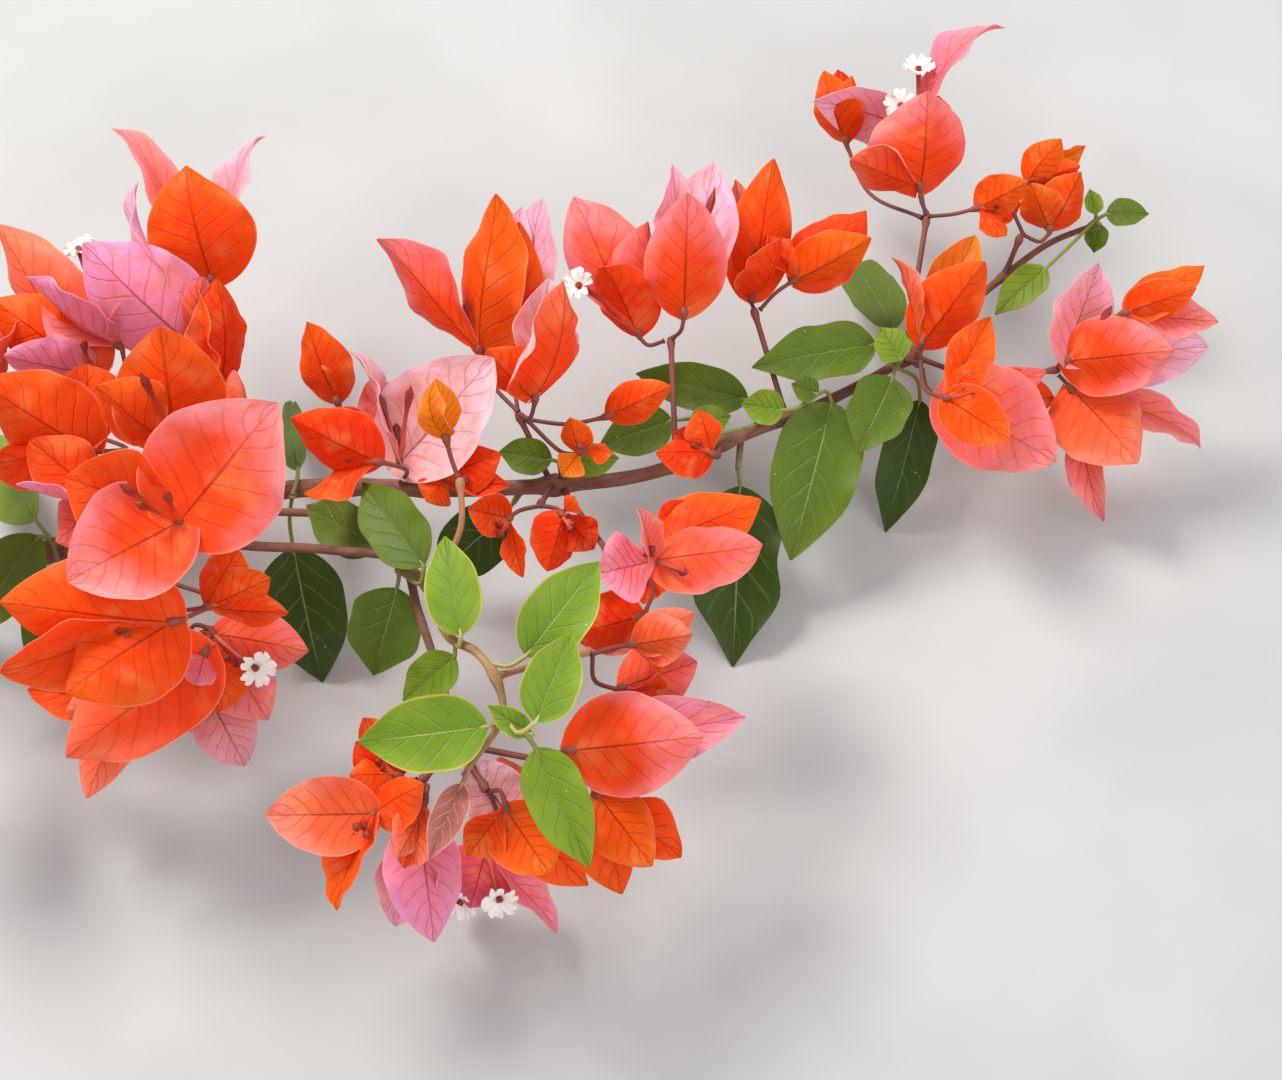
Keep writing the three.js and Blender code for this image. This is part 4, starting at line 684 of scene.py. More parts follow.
            dict(tip=(397, 858, 6), width=10, face=150, bend=-45),
            dict(tip=(418, 868, 4), width=12, face=-150, bend=-45),
            dict(tip=(404, 868, -4), width=12, face=0, bend=-40)])],
    "bloom_lower": [
        dict(fork="lower", at=(506, 809, 62), axis=(0.15, -1, 0.3), bracts=[
            dict(tip=(549, 873, 10), width=19, face=175, bend=-25, cup=0.7),
            dict(tip=(467, 856, 5), width=14, face=-160, bend=-30),
            dict(tip=(588, 885, -3), width=17, face=150, bend=-30)]),
        dict(fork="lower", at=(510, 818, 48), axis=(-0.4, 0.9, 0.2), bracts=[
            dict(tip=(468, 760, 2), width=17, face=10, bend=-10),
            dict(tip=(500, 757, -4), width=17, face=0),
            dict(tip=(458, 792, -3), width=12, face=30)])],
    "bloom_lower_back": [
        dict(fork="lower", at=(487, 848, 24), axis=(0.1, -1, 0), bracts=[
            dict(tip=(470, 908, 6), width=20, face=178, bend=-40, cup=0.8),
            dict(tip=(556, 933, -3), width=14, face=-60, flick=50),
            dict(tip=(455, 912, -8), width=15, face=40)],
            flowers=[dict(tip=(500, 902, 7), open=True), dict(tip=(459, 905, 3), open=True)])],
    "bloom_horned": [
        dict(fork="mass_top", at=(211, 279, 60), axis=(-0.1, 1, 0.15), bracts=[
            dict(tip=(186, 166, 4), width=32, face=178, bend=-70, flick=0, cup=0.6),
            dict(tip=(112, 129, -14), width=17, face=62, bend=-10, flick=50, cup=0.7),
            dict(tip=(265, 136, -14), width=18, face=-58, bend=-10, flick=50, cup=0.7)])],
    "bloom_top_pink": [
        dict(fork="mass_top", at=(188, 342, 74), axis=(-0.5, 1, 0.25), bracts=[
            dict(tip=(83, 243, 9), width=31, face=172, bend=-45, flick=15, cup=0.85),
            dict(tip=(138, 183, -2), width=19, face=-60, bend=-20, flick=60, cup=0.8),
            dict(tip=(204, 277, 4), width=14, face=-165, bend=-30)])],
    "bloom_top_right": [
        dict(fork="mass_top", at=(220, 386, 66), axis=(0.05, 1, 0.3), bracts=[
            dict(tip=(216, 279, 4), width=21, face=-135, bend=-60, flick=10, cup=0.9),
            dict(tip=(196, 284, 6), width=13, face=100, bend=-40),
            dict(tip=(182, 300, -5), width=24, face=10)]),
        dict(fork="mass_top", at=(236, 424, 64), axis=(0, 1, 0.2), size=15, habit="bud")],
    "bloom_mass_centre": [
        dict(fork="mass_top", at=(176, 446, 86), axis=(-0.2, 1, 0.5), bracts=[
            dict(tip=(160, 327, 9), width=30, face=-168, bend=-35, flick=30, cup=0.8),
            dict(tip=(96, 386, 8), width=24, face=150, bend=-40, cup=0.85),
            dict(tip=(216, 388, -4), width=24, face=-130, bend=-40)],
            flowers=[dict(tip=(140, 372, 12))])],
    "bloom_mass_left": [
        dict(fork="mass_left", at=(118, 345, 71), axis=(-0.8, 0.9, 0.2), bracts=[
            dict(tip=(26, 277, 6), width=20, face=120, bend=-40, flick=20, cup=0.9),
            dict(tip=(142, 284, 9), width=11, face=-130, bend=-20),
            dict(tip=(46, 300, -6), width=24, face=20)],
            flowers=[dict(tip=(78, 247, -8), open=True)]),
        dict(fork="mass_left", at=(94, 372, 64), axis=(-1, 0.5, 0.3), bracts=[
            dict(tip=(-4, 224, -6), width=28, face=150, bend=-30, flick=20, cup=0.8),
            dict(tip=(4, 356, 12), width=17, face=140, bend=-30, flick=20),
            dict(tip=(-8, 300, 2), width=26, face=170, bend=-30)],
            flowers=[dict(tip=(84, 341, 12))])],
    "bloom_mass_edge": [
        dict(fork="mass_left", at=(91, 451, 73), axis=(-1, 0.12, 0.5), bracts=[
            dict(tip=(-22, 382, 6), width=27, face=170, bend=-30, cup=0.8),
            dict(tip=(-18, 466, 4), width=19, face=-150, bend=-30),
            dict(tip=(87, 364, -7), width=26, face=12)])],
    "bloom_front": [
        dict(fork="mass_front", at=(180, 521, 90), axis=(-0.1, 0, 1), bracts=[
            dict(tip=(278, 403, 5), width=37, face=-4, bend=-12, flick=15, cup=0.6),
            dict(tip=(68, 582, 8), width=31, face=10, bend=-12, flick=15, cup=0.6),
            dict(tip=(66, 477, 3), width=30, face=-8, bend=-12, flick=15, cup=0.6)],
            flowers=[dict(tip=(119, 484, 12)), dict(tip=(166, 492, 14))])],
    "bloom_front_left": [
        dict(fork="mass_front", at=(106, 502, 74), axis=(-1, 0.05, 0.2), bracts=[
            dict(tip=(16, 485, 6), width=17, face=100, bend=-35, flick=20, cup=0.9),
            dict(tip=(56, 542, 2), width=19, face=-165, bend=-30),
            dict(tip=(30, 440, -6), width=20, face=20)])],
    "bloom_orange_left": [
        dict(fork="mass_front", at=(172, 622, 78), axis=(-1, -0.15, 0.15), bracts=[
            dict(tip=(0, 602, 3), width=31, face=168, bend=-30, flick=15, cup=0.75),
            dict(tip=(66, 693, 7), width=28, face=-170, bend=-25, flick=15, cup=0.75),
            dict(tip=(0, 672, -5), width=28, face=-40, bend=-20)])],
    "bloom_front_right": [
        dict(fork="mass_front", at=(208, 606, 74), axis=(0.9, 0.35, 0.4), bracts=[
            dict(tip=(238, 548, 3), width=15, face=165, bend=-30),
            dict(tip=(270, 578, 5), width=14, face=-165, bend=-40),
            dict(tip=(288, 613, 3), width=12, face=-150, bend=-30)])],
    "bloom_salmon": [
        dict(fork="mass_low", at=(204, 654, 54), axis=(-0.55, -0.85, 0.2), bracts=[
            dict(tip=(66, 757, 5), width=31, face=176, bend=-20, flick=15, cup=0.75),
            dict(tip=(196, 684, 13), width=10, face=147, bend=-30),
            dict(tip=(110, 690, -8), width=22, face=12)]),
        dict(fork="mass_low", at=(128, 700, 40), axis=(-0.35, -1, 0), bracts=[
            dict(tip=(87, 798, 2), width=15, face=160, bend=-10, flick=40),
            dict(tip=(66, 712, 2), width=16, face=170, bend=-30),
            dict(tip=(28, 690, -5), width=16, face=10)])],
    "bloom_low_right": [
        dict(fork="mass_low", at=(213, 634, 48), axis=(0.5, -0.9, 0.2), bracts=[
            dict(tip=(308, 651, 1), width=18, face=165, bend=-30),
            dict(tip=(218, 712, 8), width=23, face=170, bend=-25),
            dict(tip=(268, 720, -4), width=23, face=0)],
            flowers=[dict(tip=(257, 669, 8), open=True)]),
        dict(fork="mass_low", at=(208, 694, 36), axis=(0.25, -1, 0), bracts=[
            dict(tip=(245, 766, 5), width=18, face=170, bend=-25),
            dict(tip=(190, 732, 2), width=14, face=120, bend=-30),
            dict(tip=(220, 744, -6), width=15, face=0)])],
    "bloom_cut_end_top": [
        dict(fork="cut_end", at=(-62, 440, 76), axis=(-0.35, 1, 0.5), roll=63, size=37, habit="half"),
        dict(fork="cut_end", at=(-34, 400, 58), axis=(0, 1, 0.1), roll=0, size=34, habit="bell")],
    "bloom_cut_end_left": [
        dict(fork="cut_end", at=(-60, 606, 62), axis=(-0.5, -0.8, 0.4), roll=0, size=37, habit="half")],
}

print("blooms:", sum(len(blooms) for blooms in BLOOMS.values()))

# %% Table of leaves
# Leaves grow from the end of a short twig: a blade runs from `root` to `tip`, and `face` turns its
# upper side. Those of the young shoot grow on a share of its length.
LEAF_GROUPS = {
    "leaves_tip": dict(
        twig=[(1088, 228, 37), (1096, 220, 42)],
        leaves=[
            dict(root=(1106, 214, 44), tip=(1148, 214, 46), width=10, face=-20),
            dict(root=(1100, 224, 43), tip=(1094, 252, 36), width=8, face=30),
            dict(root=(1096, 214, 44), tip=(1090, 190, 46), width=6, face=0),
            dict(root=(1046, 268, 40), tip=(996, 314, 34), width=12, face=20),
        ],
    ),
    "leaves_elbow": dict(
        twig=[(898, 362, 34), (895, 367, 42)],
        leaves=[
            dict(root=(876, 344, 44), tip=(754, 367, 42), width=18, face=10),
            dict(root=(893, 378, 42), tip=(858, 452, 36), width=19, face=0),
            dict(root=(920, 400, 30), tip=(886, 530, 1), width=17, face=0),
            dict(root=(894, 330, 34), tip=(850, 262, 1), width=17, face=0),
            dict(root=(902, 360, 46), tip=(880, 328, 48), width=11, face=0),
        ],
    ),
    "leaves_back": dict(
        twig=[(802, 411, 35), (808, 401, 42)],
        leaves=[
            dict(root=(832, 402, 38), tip=(791, 558, 18), width=27, face=0),
            dict(root=(818, 394, 44), tip=(792, 384, 46), width=8, face=0),
            dict(root=(784, 410, 42), tip=(742, 404, 42), width=11, face=0),
        ],
    ),
    "leaves_middle": dict(
        twig=[(700, 453, 37), (702, 438, 42)],
        leaves=[
            dict(root=(748, 400, 34), tip=(638, 374, 30), width=15, face=0),
            dict(root=(672, 420, 34), tip=(600, 446, 30), width=15, face=0),
            dict(root=(690, 426, 38), tip=(730, 416, 36), width=10, face=0),
        ],
    ),
    "leaf_hanging": dict(
        twig=[(741, 437, 36), (738, 468, 30)],
        leaves=[
            dict(root=(740, 486, 26), tip=(733, 664, 1), width=27, face=0),
        ],
    ),
    "leaves_crown": dict(
        twig=[(564, 484, 40), (560, 462, 50)],
        leaves=[
            dict(root=(552, 460, 50), tip=(500, 452, 46), width=11, face=0),
            dict(root=(570, 462, 50), tip=(618, 458, 48), width=10, face=0),
        ],
    ),
    "leaf_behind": dict(
        twig=[(524, 486, 40), (514, 502, 31)],
        leaves=[
            dict(root=(506, 514, 28), tip=(438, 574, 12), width=20, face=0),
        ],
    ),
    "leaves_outer": dict(
        twig=[(297, 491, 40), (292, 496, 47)],
        leaves=[
            dict(root=(293, 548, 30), tip=(322, 680, 1), width=26, face=0),
            dict(root=(298, 470, 40), tip=(290, 402, 1), width=11, face=0),
        ],
    ),
    "leaves_lower": dict(
        twig=[(400, 562, 62), (398, 571, 69)],
        leaves=[
            dict(root=(424, 566, 76), tip=(364, 484, 72), width=17, face=0),
            dict(root=(397, 588, 62), tip=(374, 674, 46), width=21, face=0),
            dict(root=(380, 548, 62), tip=(308, 506, 52), width=15, face=0),
        ],
    ),
    "leaves_mass": dict(
        twig=[(64, 547, 36), (52, 540, 47)],
        leaves=[
            dict(root=(40, 536, 48), tip=(-40, 640, 36), width=18, face=0),
            dict(root=(36, 520, 44), tip=(-6, 440, 1), width=20, face=0),
            dict(root=(60, 580, 36), tip=(62, 690, 12), width=22, face=0),
        ],
    ),
    "leaves_cut_end": dict(
        twig=[(-118, 611, 13), (-122, 600, 24)],
        leaves=[
            dict(root=(-130, 576, 28), tip=(-170, 480, 30), width=20, face=0),
            dict(root=(-110, 630, 18), tip=(-60, 730, 1), width=21, face=0),
        ],
    ),
}

SHOOT_LEAVES = [
    dict(root=(461, 636, 82), tip=(445, 538, 86), width=15, face=0, on=0.43),
    dict(root=(526, 656, 84), tip=(598, 563, 88), width=18, face=0, on=0.6),
    dict(root=(536, 722, 86), tip=(571, 634, 92), width=15, face=0, on=0.76),
    dict(root=(488, 726, 82), tip=(360, 742, 78), width=20, face=0, on=0.82),
    dict(root=(455, 656, 76), tip=(404, 700, 66), width=12, face=0, on=0.45),
    dict(root=(536, 748, 80), tip=(589, 866, 68), width=16, face=0, on=0.8),
    dict(root=(530, 734, 80), tip=(489, 706, 84), width=7, face=0, on=0.78),
    dict(root=(462, 784, 72), tip=(430, 858, 66), width=9, face=0, on=0.96),
]

print("leaves:", sum(len(g["leaves"]) for g in LEAF_GROUPS.values()) + len(SHOOT_LEAVES))

# %% [markdown]
# ## Colours that have a place
#
# A bract ages from orange to pink, its tip and margin first, and its inner face is paler than its back.
# Painting that on an image would tie the colour to one layout of the surface. Instead each bloom names
# a stage of ageing, and each stage gives four colours: back near the rib, back at the edge, inner face
# near the rib, inner face at the edge. The material then blends each pair across the blade.

# %% Stages of a bloom and of a leaf
BRACT_STAGES = {
    "amber": ("#f58a10", "#f8a02c", "#f27c0a", "#f69428"),
    "orange": ("#fb4e06", "#fd6c1c", "#f64606", "#fb6424"),
    "tangerine": ("#fb5e08", "#fd7a1c", "#f85606", "#fb701c"),
    "red": ("#f23804", "#f85212", "#ea3404", "#f44a18"),
    "salmon": ("#fb6432", "#fc8e74", "#f86c40", "#fb9a86"),
    "edged": ("#fb4e12", "#fc989c", "#f84c18", "#fca6aa"),
    "rimmed": ("#f6480e", "#fb7a58", "#fcb0b2", "#fdd8de"),
    "coral": ("#fa5e40", "#fc8488", "#f87468", "#fda4a8"),
    "pink": ("#fb7484", "#fca0bc", "#fc98a6", "#fec6d6"),
    "lilac": ("#fb92b0", "#f6acdc", "#fcb2c6", "#fccee6"),
    "rose": ("#f05a70", "#f47ea4", "#f47c8e", "#faaac6"),
    "blush": ("#fcaeb0", "#fcc0d2", "#fdc6ca", "#fedae4"),
}
LEAF_TONES = {
    "dark": ("#2e440a", "#384f0e", "#465e1c", "#506624"),
    "mid": ("#566c10", "#657c18", "#647e2c", "#6e8834"),
    "fresh": ("#748e18", "#869e22", "#809836", "#8ca43e"),
    "young": ("#71921a", "#88a426", "#7e9a3a", "#94aa48"),
    "blush": ("#a04c42", "#bc7066", "#ae6258", "#c6847c"),
}
# One entry to a bloom, with a stage for each of its bracts.
BLOOM_STAGES = {
    "bloom_tip": ("edged rimmed orange", "tangerine orange red"),
    "bloom_tip_pink": ("lilac rose salmon",),
    "bloom_tip_left": ("orange tangerine red",),
    "bloom_tip_buds": ("tangerine amber orange", "orange tangerine red"),
    "bloom_elbow": ("orange salmon amber", "orange tangerine tangerine"),
    "bloom_elbow_low": ("coral coral orange",),
    "bloom_end": ("pink edged lilac", "tangerine orange coral"),
    "bloom_end_low": ("salmon coral coral",),
    "bloom_back": ("orange red salmon",),
    "bloom_back_right": ("red tangerine orange",),
    "bloom_middle": ("edged pink lilac",),
    "bloom_middle_left": ("red coral edged",),
    "bloom_crown": ("tangerine edged lilac", "orange lilac"),
    "bloom_crown_front": ("rimmed orange blush",),
    "bloom_crown_small": ("orange red", "tangerine orange amber"),
    "bloom_inner": ("blush blush coral",),
    "bloom_inner_left": ("red orange red",),
    "bloom_inner_right": ("red orange red",),
    "bloom_outer": ("orange tangerine red",),
    "bloom_young": ("amber amber tangerine",),
    "bloom_low": ("orange orange", "red orange red"),
    "bloom_red_bud": ("red orange red",),
    "bloom_side": ("coral rose coral", "orange orange red", "red coral orange"),
    "bloom_shoot": ("salmon salmon orange", "coral red salmon"),
    "bloom_right": ("edged rose coral",),
    "bloom_right_low": ("tangerine orange orange",),
    "bloom_lower_left": ("salmon tangerine orange", "red orange red"),
    "bloom_lower_pink": ("lilac pink pink", "salmon salmon orange"),
    "bloom_lower": ("tangerine orange orange", "blush salmon salmon"),
    "bloom_lower_back": ("rose rose coral",),
    "bloom_horned": ("orange coral pink",),
    "bloom_top_pink": ("lilac lilac coral",),
    "bloom_top_right": ("red orange red", "salmon"),
    "bloom_mass_centre": ("orange orange red",),
    "bloom_mass_left": ("lilac pink coral", "salmon lilac orange"),
    "bloom_mass_edge": ("orange red orange",),
    "bloom_front": ("edged edged orange",),
    "bloom_front_left": ("lilac coral orange",),
    "bloom_orange_left": ("orange orange orange",),
    "bloom_front_right": ("orange orange red",),
    "bloom_salmon": ("rimmed pink salmon", "salmon salmon orange"),
    "bloom_low_right": ("coral orange coral", "blush salmon orange"),
    "bloom_cut_end_top": ("orange edged orange", "coral salmon coral"),
    "bloom_cut_end_left": ("edged orange edged",),
}
PINK_STAGES = ("coral", "pink", "lilac", "rose", "blush")
# Stages drawn in pale paper, and in pink paper where they aren't pale.
PALE_STAGES = ("pink", "lilac", "blush")
PINK_PAPER_STAGES = PINK_STAGES + ("salmon", "edged", "rimmed")
LEAF_STAGES = {
    "leaves_tip": ("mid", "mid", "fresh", "fresh"),
    "leaves_elbow": ("mid", "mid", "dark", "mid", "fresh"),
    "leaves_back": ("mid", "mid", "fresh"),
    "leaves_middle": ("mid", "mid", "fresh"),
    "leaf_hanging": ("dark",),
    "leaves_crown": ("mid", "fresh"),
    "leaf_behind": ("dark",),
    "leaves_outer": ("dark", "mid"),
    "leaves_lower": ("mid", "mid", "mid"),
    "leaves_mass": ("mid", "fresh", "mid"),
    "leaves_cut_end": ("mid", "dark"),
}
SHOOT_STAGES = ("young", "young", "young", "young", "fresh", "fresh", "young", "blush")
print("stages of bracts:", len(BRACT_STAGES), "and of leaves:", len(LEAF_TONES))

# %% [markdown]
# ## Shader maths in plain expressions
#
# A material is a net of nodes, and its arithmetic takes many Math nodes that are tedious to wire by
# hand. A small class wraps the output of a node, so that `1 - mask` or `mask * 0.5` adds the node that
# works it out. Colours go through Mix nodes instead, because a Math node would turn them grey.

# %% Numbers that change over a surface
class Number:
    """A value that changes over a surface. Arithmetic on it adds Math nodes."""

    def __init__(self, finish, socket):
        self.finish = finish
        self.socket = socket

    def maths(self, operation, *others):
        return self.finish.maths(operation, self, *others)

    def __add__(self, other):
        return self.maths("ADD", other)

    def __sub__(self, other):
        return self.maths("SUBTRACT", other)

    def __mul__(self, other):
        return self.maths("MULTIPLY", other)

    def __pow__(self, other):
        return self.maths("POWER", other)

    def __rsub__(self, other):
        return self.finish.maths("SUBTRACT", other, self)

    __radd__ = __add__
    __rmul__ = __mul__

    def absolute(self):
        return self.maths("ABSOLUTE")

    def fraction(self):
        return self.maths("FRACT")

    def smooth_step(self, low, high):
        """0 below low, 1 above high and smooth between."""
        settings = {"interpolation_type": "SMOOTHSTEP"}
        inputs = {"Value": self, "From Min": low, "From Max": high}
        node = self.finish.node("ShaderNodeMapRange", settings, inputs)
        return Number(self.finish, node.outputs["Result"])


# %% The node tree of a material
class Finish:
    """The node tree of one material."""

    def __init__(self, name):
        self.material = bpy.data.materials.new(name)
        self.material.use_nodes = True
        self.tree = self.material.node_tree
        self.tree.nodes.clear()

    def node(self, kind, settings=None, inputs=None):
        """Adds a node: its settings first, then the values or links of its sockets."""
        made = self.tree.nodes.new(kind)
        for key, value in (settings or {}).items():
            setattr(made, key, value)
        for key, value in (inputs or {}).items():
            if isinstance(value, Number):
                value = value.socket
            if isinstance(value, bpy.types.NodeSocket):
                self.tree.links.new(value, made.inputs[key])
            else:
                made.inputs[key].default_value = value
        return made

    def maths(self, operation, *values):
        node = self.node("ShaderNodeMath", {"operation": operation}, dict(enumerate(values)))
        return Number(self, node.outputs[0])

    def mix(self, first, second, factor, blend="MIX"):
        """A colour between two."""
        settings = {"data_type": "RGBA", "blend_type": blend}
        return self.node("ShaderNodeMix", settings, {0: factor, 6: first, 7: second}).outputs[2]

    def noise(self, vector, scale, detail=3.0, roughness=0.5):
        inputs = {"Vector": vector, "Scale": scale, "Detail": detail, "Roughness": roughness}
        return Number(self, self.node("ShaderNodeTexNoise", None, inputs).outputs["Fac"])

    def cells(self, vector, scale, feature="F1"):
        return self.node("ShaderNodeTexVoronoi", {"feature": feature}, {"Vector": vector, "Scale": scale})

    def attribute(self, name, output="Color"):
        return self.node("ShaderNodeAttribute", {"attribute_name": name}).outputs[output]

    def vector(self, x, y, z):
        return self.node("ShaderNodeCombineXYZ", None, {0: x, 1: y, 2: z}).outputs[0]

    def place(self):
        """The place on the object, in metres."""
        return self.node("ShaderNodeTexCoord").outputs["Object"]

    def blade_place(self):
        """How far across and along its own blade a point is, each from 0 to 1."""
        uv = self.node("ShaderNodeUVMap", {"uv_map": "blade"}).outputs[0]
        parts = self.node("ShaderNodeSeparateXYZ", None, {0: uv})
        return Number(self, parts.outputs[0]), Number(self, parts.outputs[1])

    def surface(self, colour, roughness, height=None, depth=0.0003, glow=None, glow_share=0.0, shine=0.4):
        """Ends the tree in its shader: relief from height, and for a thin sheet some light through it."""
        inputs = {"Base Color": colour, "Roughness": roughness, "Specular IOR Level": shine}
        if height is not None:
            bump = self.node("ShaderNodeBump", None, {"Height": height, "Distance": depth, "Strength": 1.0})
            inputs["Normal"] = bump.outputs[0]
        shader = self.node("ShaderNodeBsdfPrincipled", None, inputs).outputs[0]
        if glow is not None:
            through = self.node("ShaderNodeBsdfTranslucent", None, {"Color": glow})
            mixed = self.node("ShaderNodeMixShader", None, {0: glow_share, 1: shader, 2: through.outputs[0]})
            shader = mixed.outputs[0]
        self.node("ShaderNodeOutputMaterial", None, {"Surface": shader})
        return self.material


# %% [markdown]
# ## Finish of bracts and leaves
#
# A bract is like tissue paper: a rib, some side veins that curve towards the tip, a fine net between
# them, and light that shines through. A scanned picture would give all this for one leaf, but here it
# is drawn by numbers, from how far across and along its own blade each point is, so that every bract
# has its own net at the right scale. The side veins are lines of equal `along - edge * VEIN_LEAN`, where
# edge is 0 on the rib and 1 on the margin.

# %% Markings of a blade
BRACT_VEINS = 6.5  # side veins on each half
BRACT_NET = 15  # cells of the fine net along a blade
LEAF_VEINS = 5.5
LEAF_NET = 22
SPECK_EDGE = 0.01  # keeps the choice of spots from being all or nothing at one number


def blade_markings(finish, vein_count, net_scale):
    """How strongly rib, side veins and fine net show at each point, and where the point is on its blade."""
    across, along = finish.blade_place()
    own = Number(finish, finish.attribute("own", "Fac"))
    edge = (across * 2 - 1).absolute()
    side = across.smooth_step(0.499, 0.501)
    moved = finish.vector(across * 0.86 + own * 7, along + own * 3, 0)
    wander = finish.noise(moved, 5, 2) - 0.5
    rib = 1 - edge.smooth_step(0.0, 0.035)
    phase = (along - edge * VEIN_LEAN + wander * 0.07) * vein_count + side * 0.5 + own
    line = ((phase.fraction() - 0.5).absolute() * 2).smooth_step(0.82, 1.0)
    veins = line * edge.smooth_step(1.0, 0.55)
    cell = finish.cells(moved, net_scale, "DISTANCE_TO_EDGE").outputs["Distance"]
    net = 1 - Number(finish, cell).smooth_step(0.0, 0.11)
    return along, edge, moved, rib, veins, net


def specks(finish, size, share):
    """Scattered dust and pin-prick spots: 1 inside a spot."""
    cell = finish.cells(finish.place(), 1 / size)
    spot_size = Number(finish, cell.outputs["Distance"])
    colour = finish.node("ShaderNodeSeparateXYZ", None, {0: cell.outputs["Color"]})
    chosen = Number(finish, colour.outputs[0]).smooth_step(1 - share - SPECK_EDGE, 1 - share)
    return (1 - spot_size.smooth_step(0.06, 0.12)) * chosen


def papery(name, glow, share):
    """The bracts' finish, with the colour and the share of the light that shines through."""
    finish = Finish(name)
    along, edge, moved, rib, veins, net = blade_markings(finish, BRACT_VEINS, BRACT_NET)
    cloud = finish.noise(moved, 3.2, 3)
    fade = (along * 0.9 + edge ** 2 * 0.45 + (cloud - 0.5) * 0.7).smooth_step(0.35, 1.05)
    colour = finish.mix(finish.attribute("near"), finish.attribute("far"), fade)
    blotch = finish.noise(moved, 9, 4)
    colour = finish.mix(colour, (0.88, 0.14, 0.02, 1), blotch.smooth_step(0.44, 0.78) * 0.42)
    pale = finish.noise(moved, 2.3, 2)
    colour = finish.mix(colour, (1.0, 0.4, 0.13, 1), pale.smooth_step(0.5, 0.72) * 0.32)
    colour = finish.mix(colour, (0.66, 0.06, 0.01, 1), veins * 0.25 + net * 0.11)
    rib_shade = rib * (1 - along.smooth_step(0.2, 0.9)) * 0.7
    colour = finish.mix(colour, (0.25, 0.025, 0.01, 1), rib_shade)
    # Painted highlight: a thin lighter band along the margin, where light would catch the edge.
    rim = edge.smooth_step(0.955, 1.0)
    colour = finish.mix(colour, (1.0, 0.66, 0.5, 1), rim * 0.3)
    colour = finish.mix(colour, (0.1, 0.02, 0.01, 1), specks(finish, 0.0028, 0.1) * 0.8)
    grain = finish.noise(moved, 60, 2)
    height = grain * 0.15 + blotch * 0.8 - veins * 0.5 - rib * 0.8
    roughness = 0.48 + cloud * 0.14
    return finish.surface(colour, roughness, height, 0.00035, glow, share, 0.14)


ORANGE_PAPER = papery("orange_bract", (1.0, 0.14, 0.005, 1), 0.34)
PINK_PAPER = papery("pink_bract", (1.0, 0.3, 0.2, 1), 0.32)
PALE_PAPER = papery("pale_bract", (1.0, 0.48, 0.56, 1), 0.3)
BRACT_MATERIALS = [ORANGE_PAPER, PINK_PAPER, PALE_PAPER]
print("finished:", [material.name for material in BRACT_MATERIALS])

# %% [markdown]
# A leaf shares the bract's markings with other colours: its veins are paler than the blade, less light
# comes through, and its skin is a little glossier. One material could do both with switches, but two
# short functions are easier to read.

# %% Leaf finish
def leafy(name, rib_colour, margin, glow, vein_share=0.16):
    """A leaf's finish. Its rib and side veins are paler than its blade, and a young one has a pale margin."""
    finish = Finish(name)
    along, edge, moved, rib, veins, net = blade_markings(finish, LEAF_VEINS, LEAF_NET)
    cloud = finish.noise(moved, 4, 3)
    fade = (edge * 0.6 + along * 0.3 + (cloud - 0.5) * 0.9).smooth_step(0.1, 0.9)
    colour = finish.mix(finish.attribute("near"), finish.attribute("far"), fade)
    colour = finish.mix(colour, rib_colour, rib * 0.6 + veins * vein_share + net * (vein_share * 0.2))
    if margin:
        colour = finish.mix(colour, margin, edge.smooth_step(0.92, 0.98) * 0.6)
    colour = finish.mix(colour, (0.8, 0.85, 0.7, 1), specks(finish, 0.0023, 0.08) * 0.7)
    colour = finish.mix(colour, (0.04, 0.05, 0.02, 1), specks(finish, 0.0034, 0.1) * 0.8)
    height = finish.noise(moved, 50, 3) * 0.3 - veins * 0.8 - rib
    roughness = 0.42 + cloud * 0.16
    return finish.surface(colour, roughness, height, 0.00025, glow, 0.22, 0.32)


OLD_LEAF = leafy("grown_leaf", (0.42, 0.52, 0.15, 1), None, (0.3, 0.48, 0.02, 1))
YOUNG_LEAF = leafy("young_leaf", (0.62, 0.72, 0.26, 1), (0.8, 0.6, 0.12, 1), (0.45, 0.65, 0.04, 1))
BLUSH_LEAF = leafy("blush_leaf", (0.86, 0.6, 0.46, 1), (0.88, 0.66, 0.55, 1), (0.7, 0.3, 0.2, 1), 0.7)
print("finished:", OLD_LEAF.name, YOUNG_LEAF.name, BLUSH_LEAF.name)

# %% [markdown]
# ## Finish of stems, stalks and flowers
#
# Old wood is maroon-brown with long furrows and small pale pores. The young shoot is tan and green and
# softly hairy. Stalks carry their two colours from foot to end, as bracts do, and so do the slim tubes
# of the flowers. The open star is white and slightly waxy, with a cream throat. A picture of bark would
# show a seam down each limb. Noise drawn from the place round and along the limb shows none, because
# the place round it is mirrored at the back.

# %% Bark
def barky(name, dark, light, pores):
    """Wood: two browns in long furrows and patches, with scattered pores."""
    finish = Finish(name)
    across, along = finish.blade_place()
    place = finish.place()
    run = finish.vector(across * 6, along * 18, 0)
    furrow = finish.noise(run, 3, 4, 0.6)
    patches = finish.noise(place, 160, 4)
    colour = finish.mix(dark, light, (furrow * 0.6 + patches * 0.5).smooth_step(0.35, 0.75))
    dots = specks(finish, 0.0016, 0.3)
    colour = finish.mix(colour, pores, dots * 0.6)
    height = furrow * 0.8 + patches * 0.4 + dots * 0.5
    roughness = 0.62 + patches * 0.2
    return finish.surface(colour, roughness, height, 0.0005)


BARK = barky("bark", (0.13, 0.042, 0.026, 1), (0.31, 0.135, 0.085, 1), (0.44, 0.28, 0.19, 1))
YOUNG_BARK = barky("young_bark", (0.26, 0.13, 0.055, 1), (0.5, 0.3, 0.14, 1), (0.6, 0.45, 0.3, 1))
print("finished:", BARK.name, YOUNG_BARK.name)

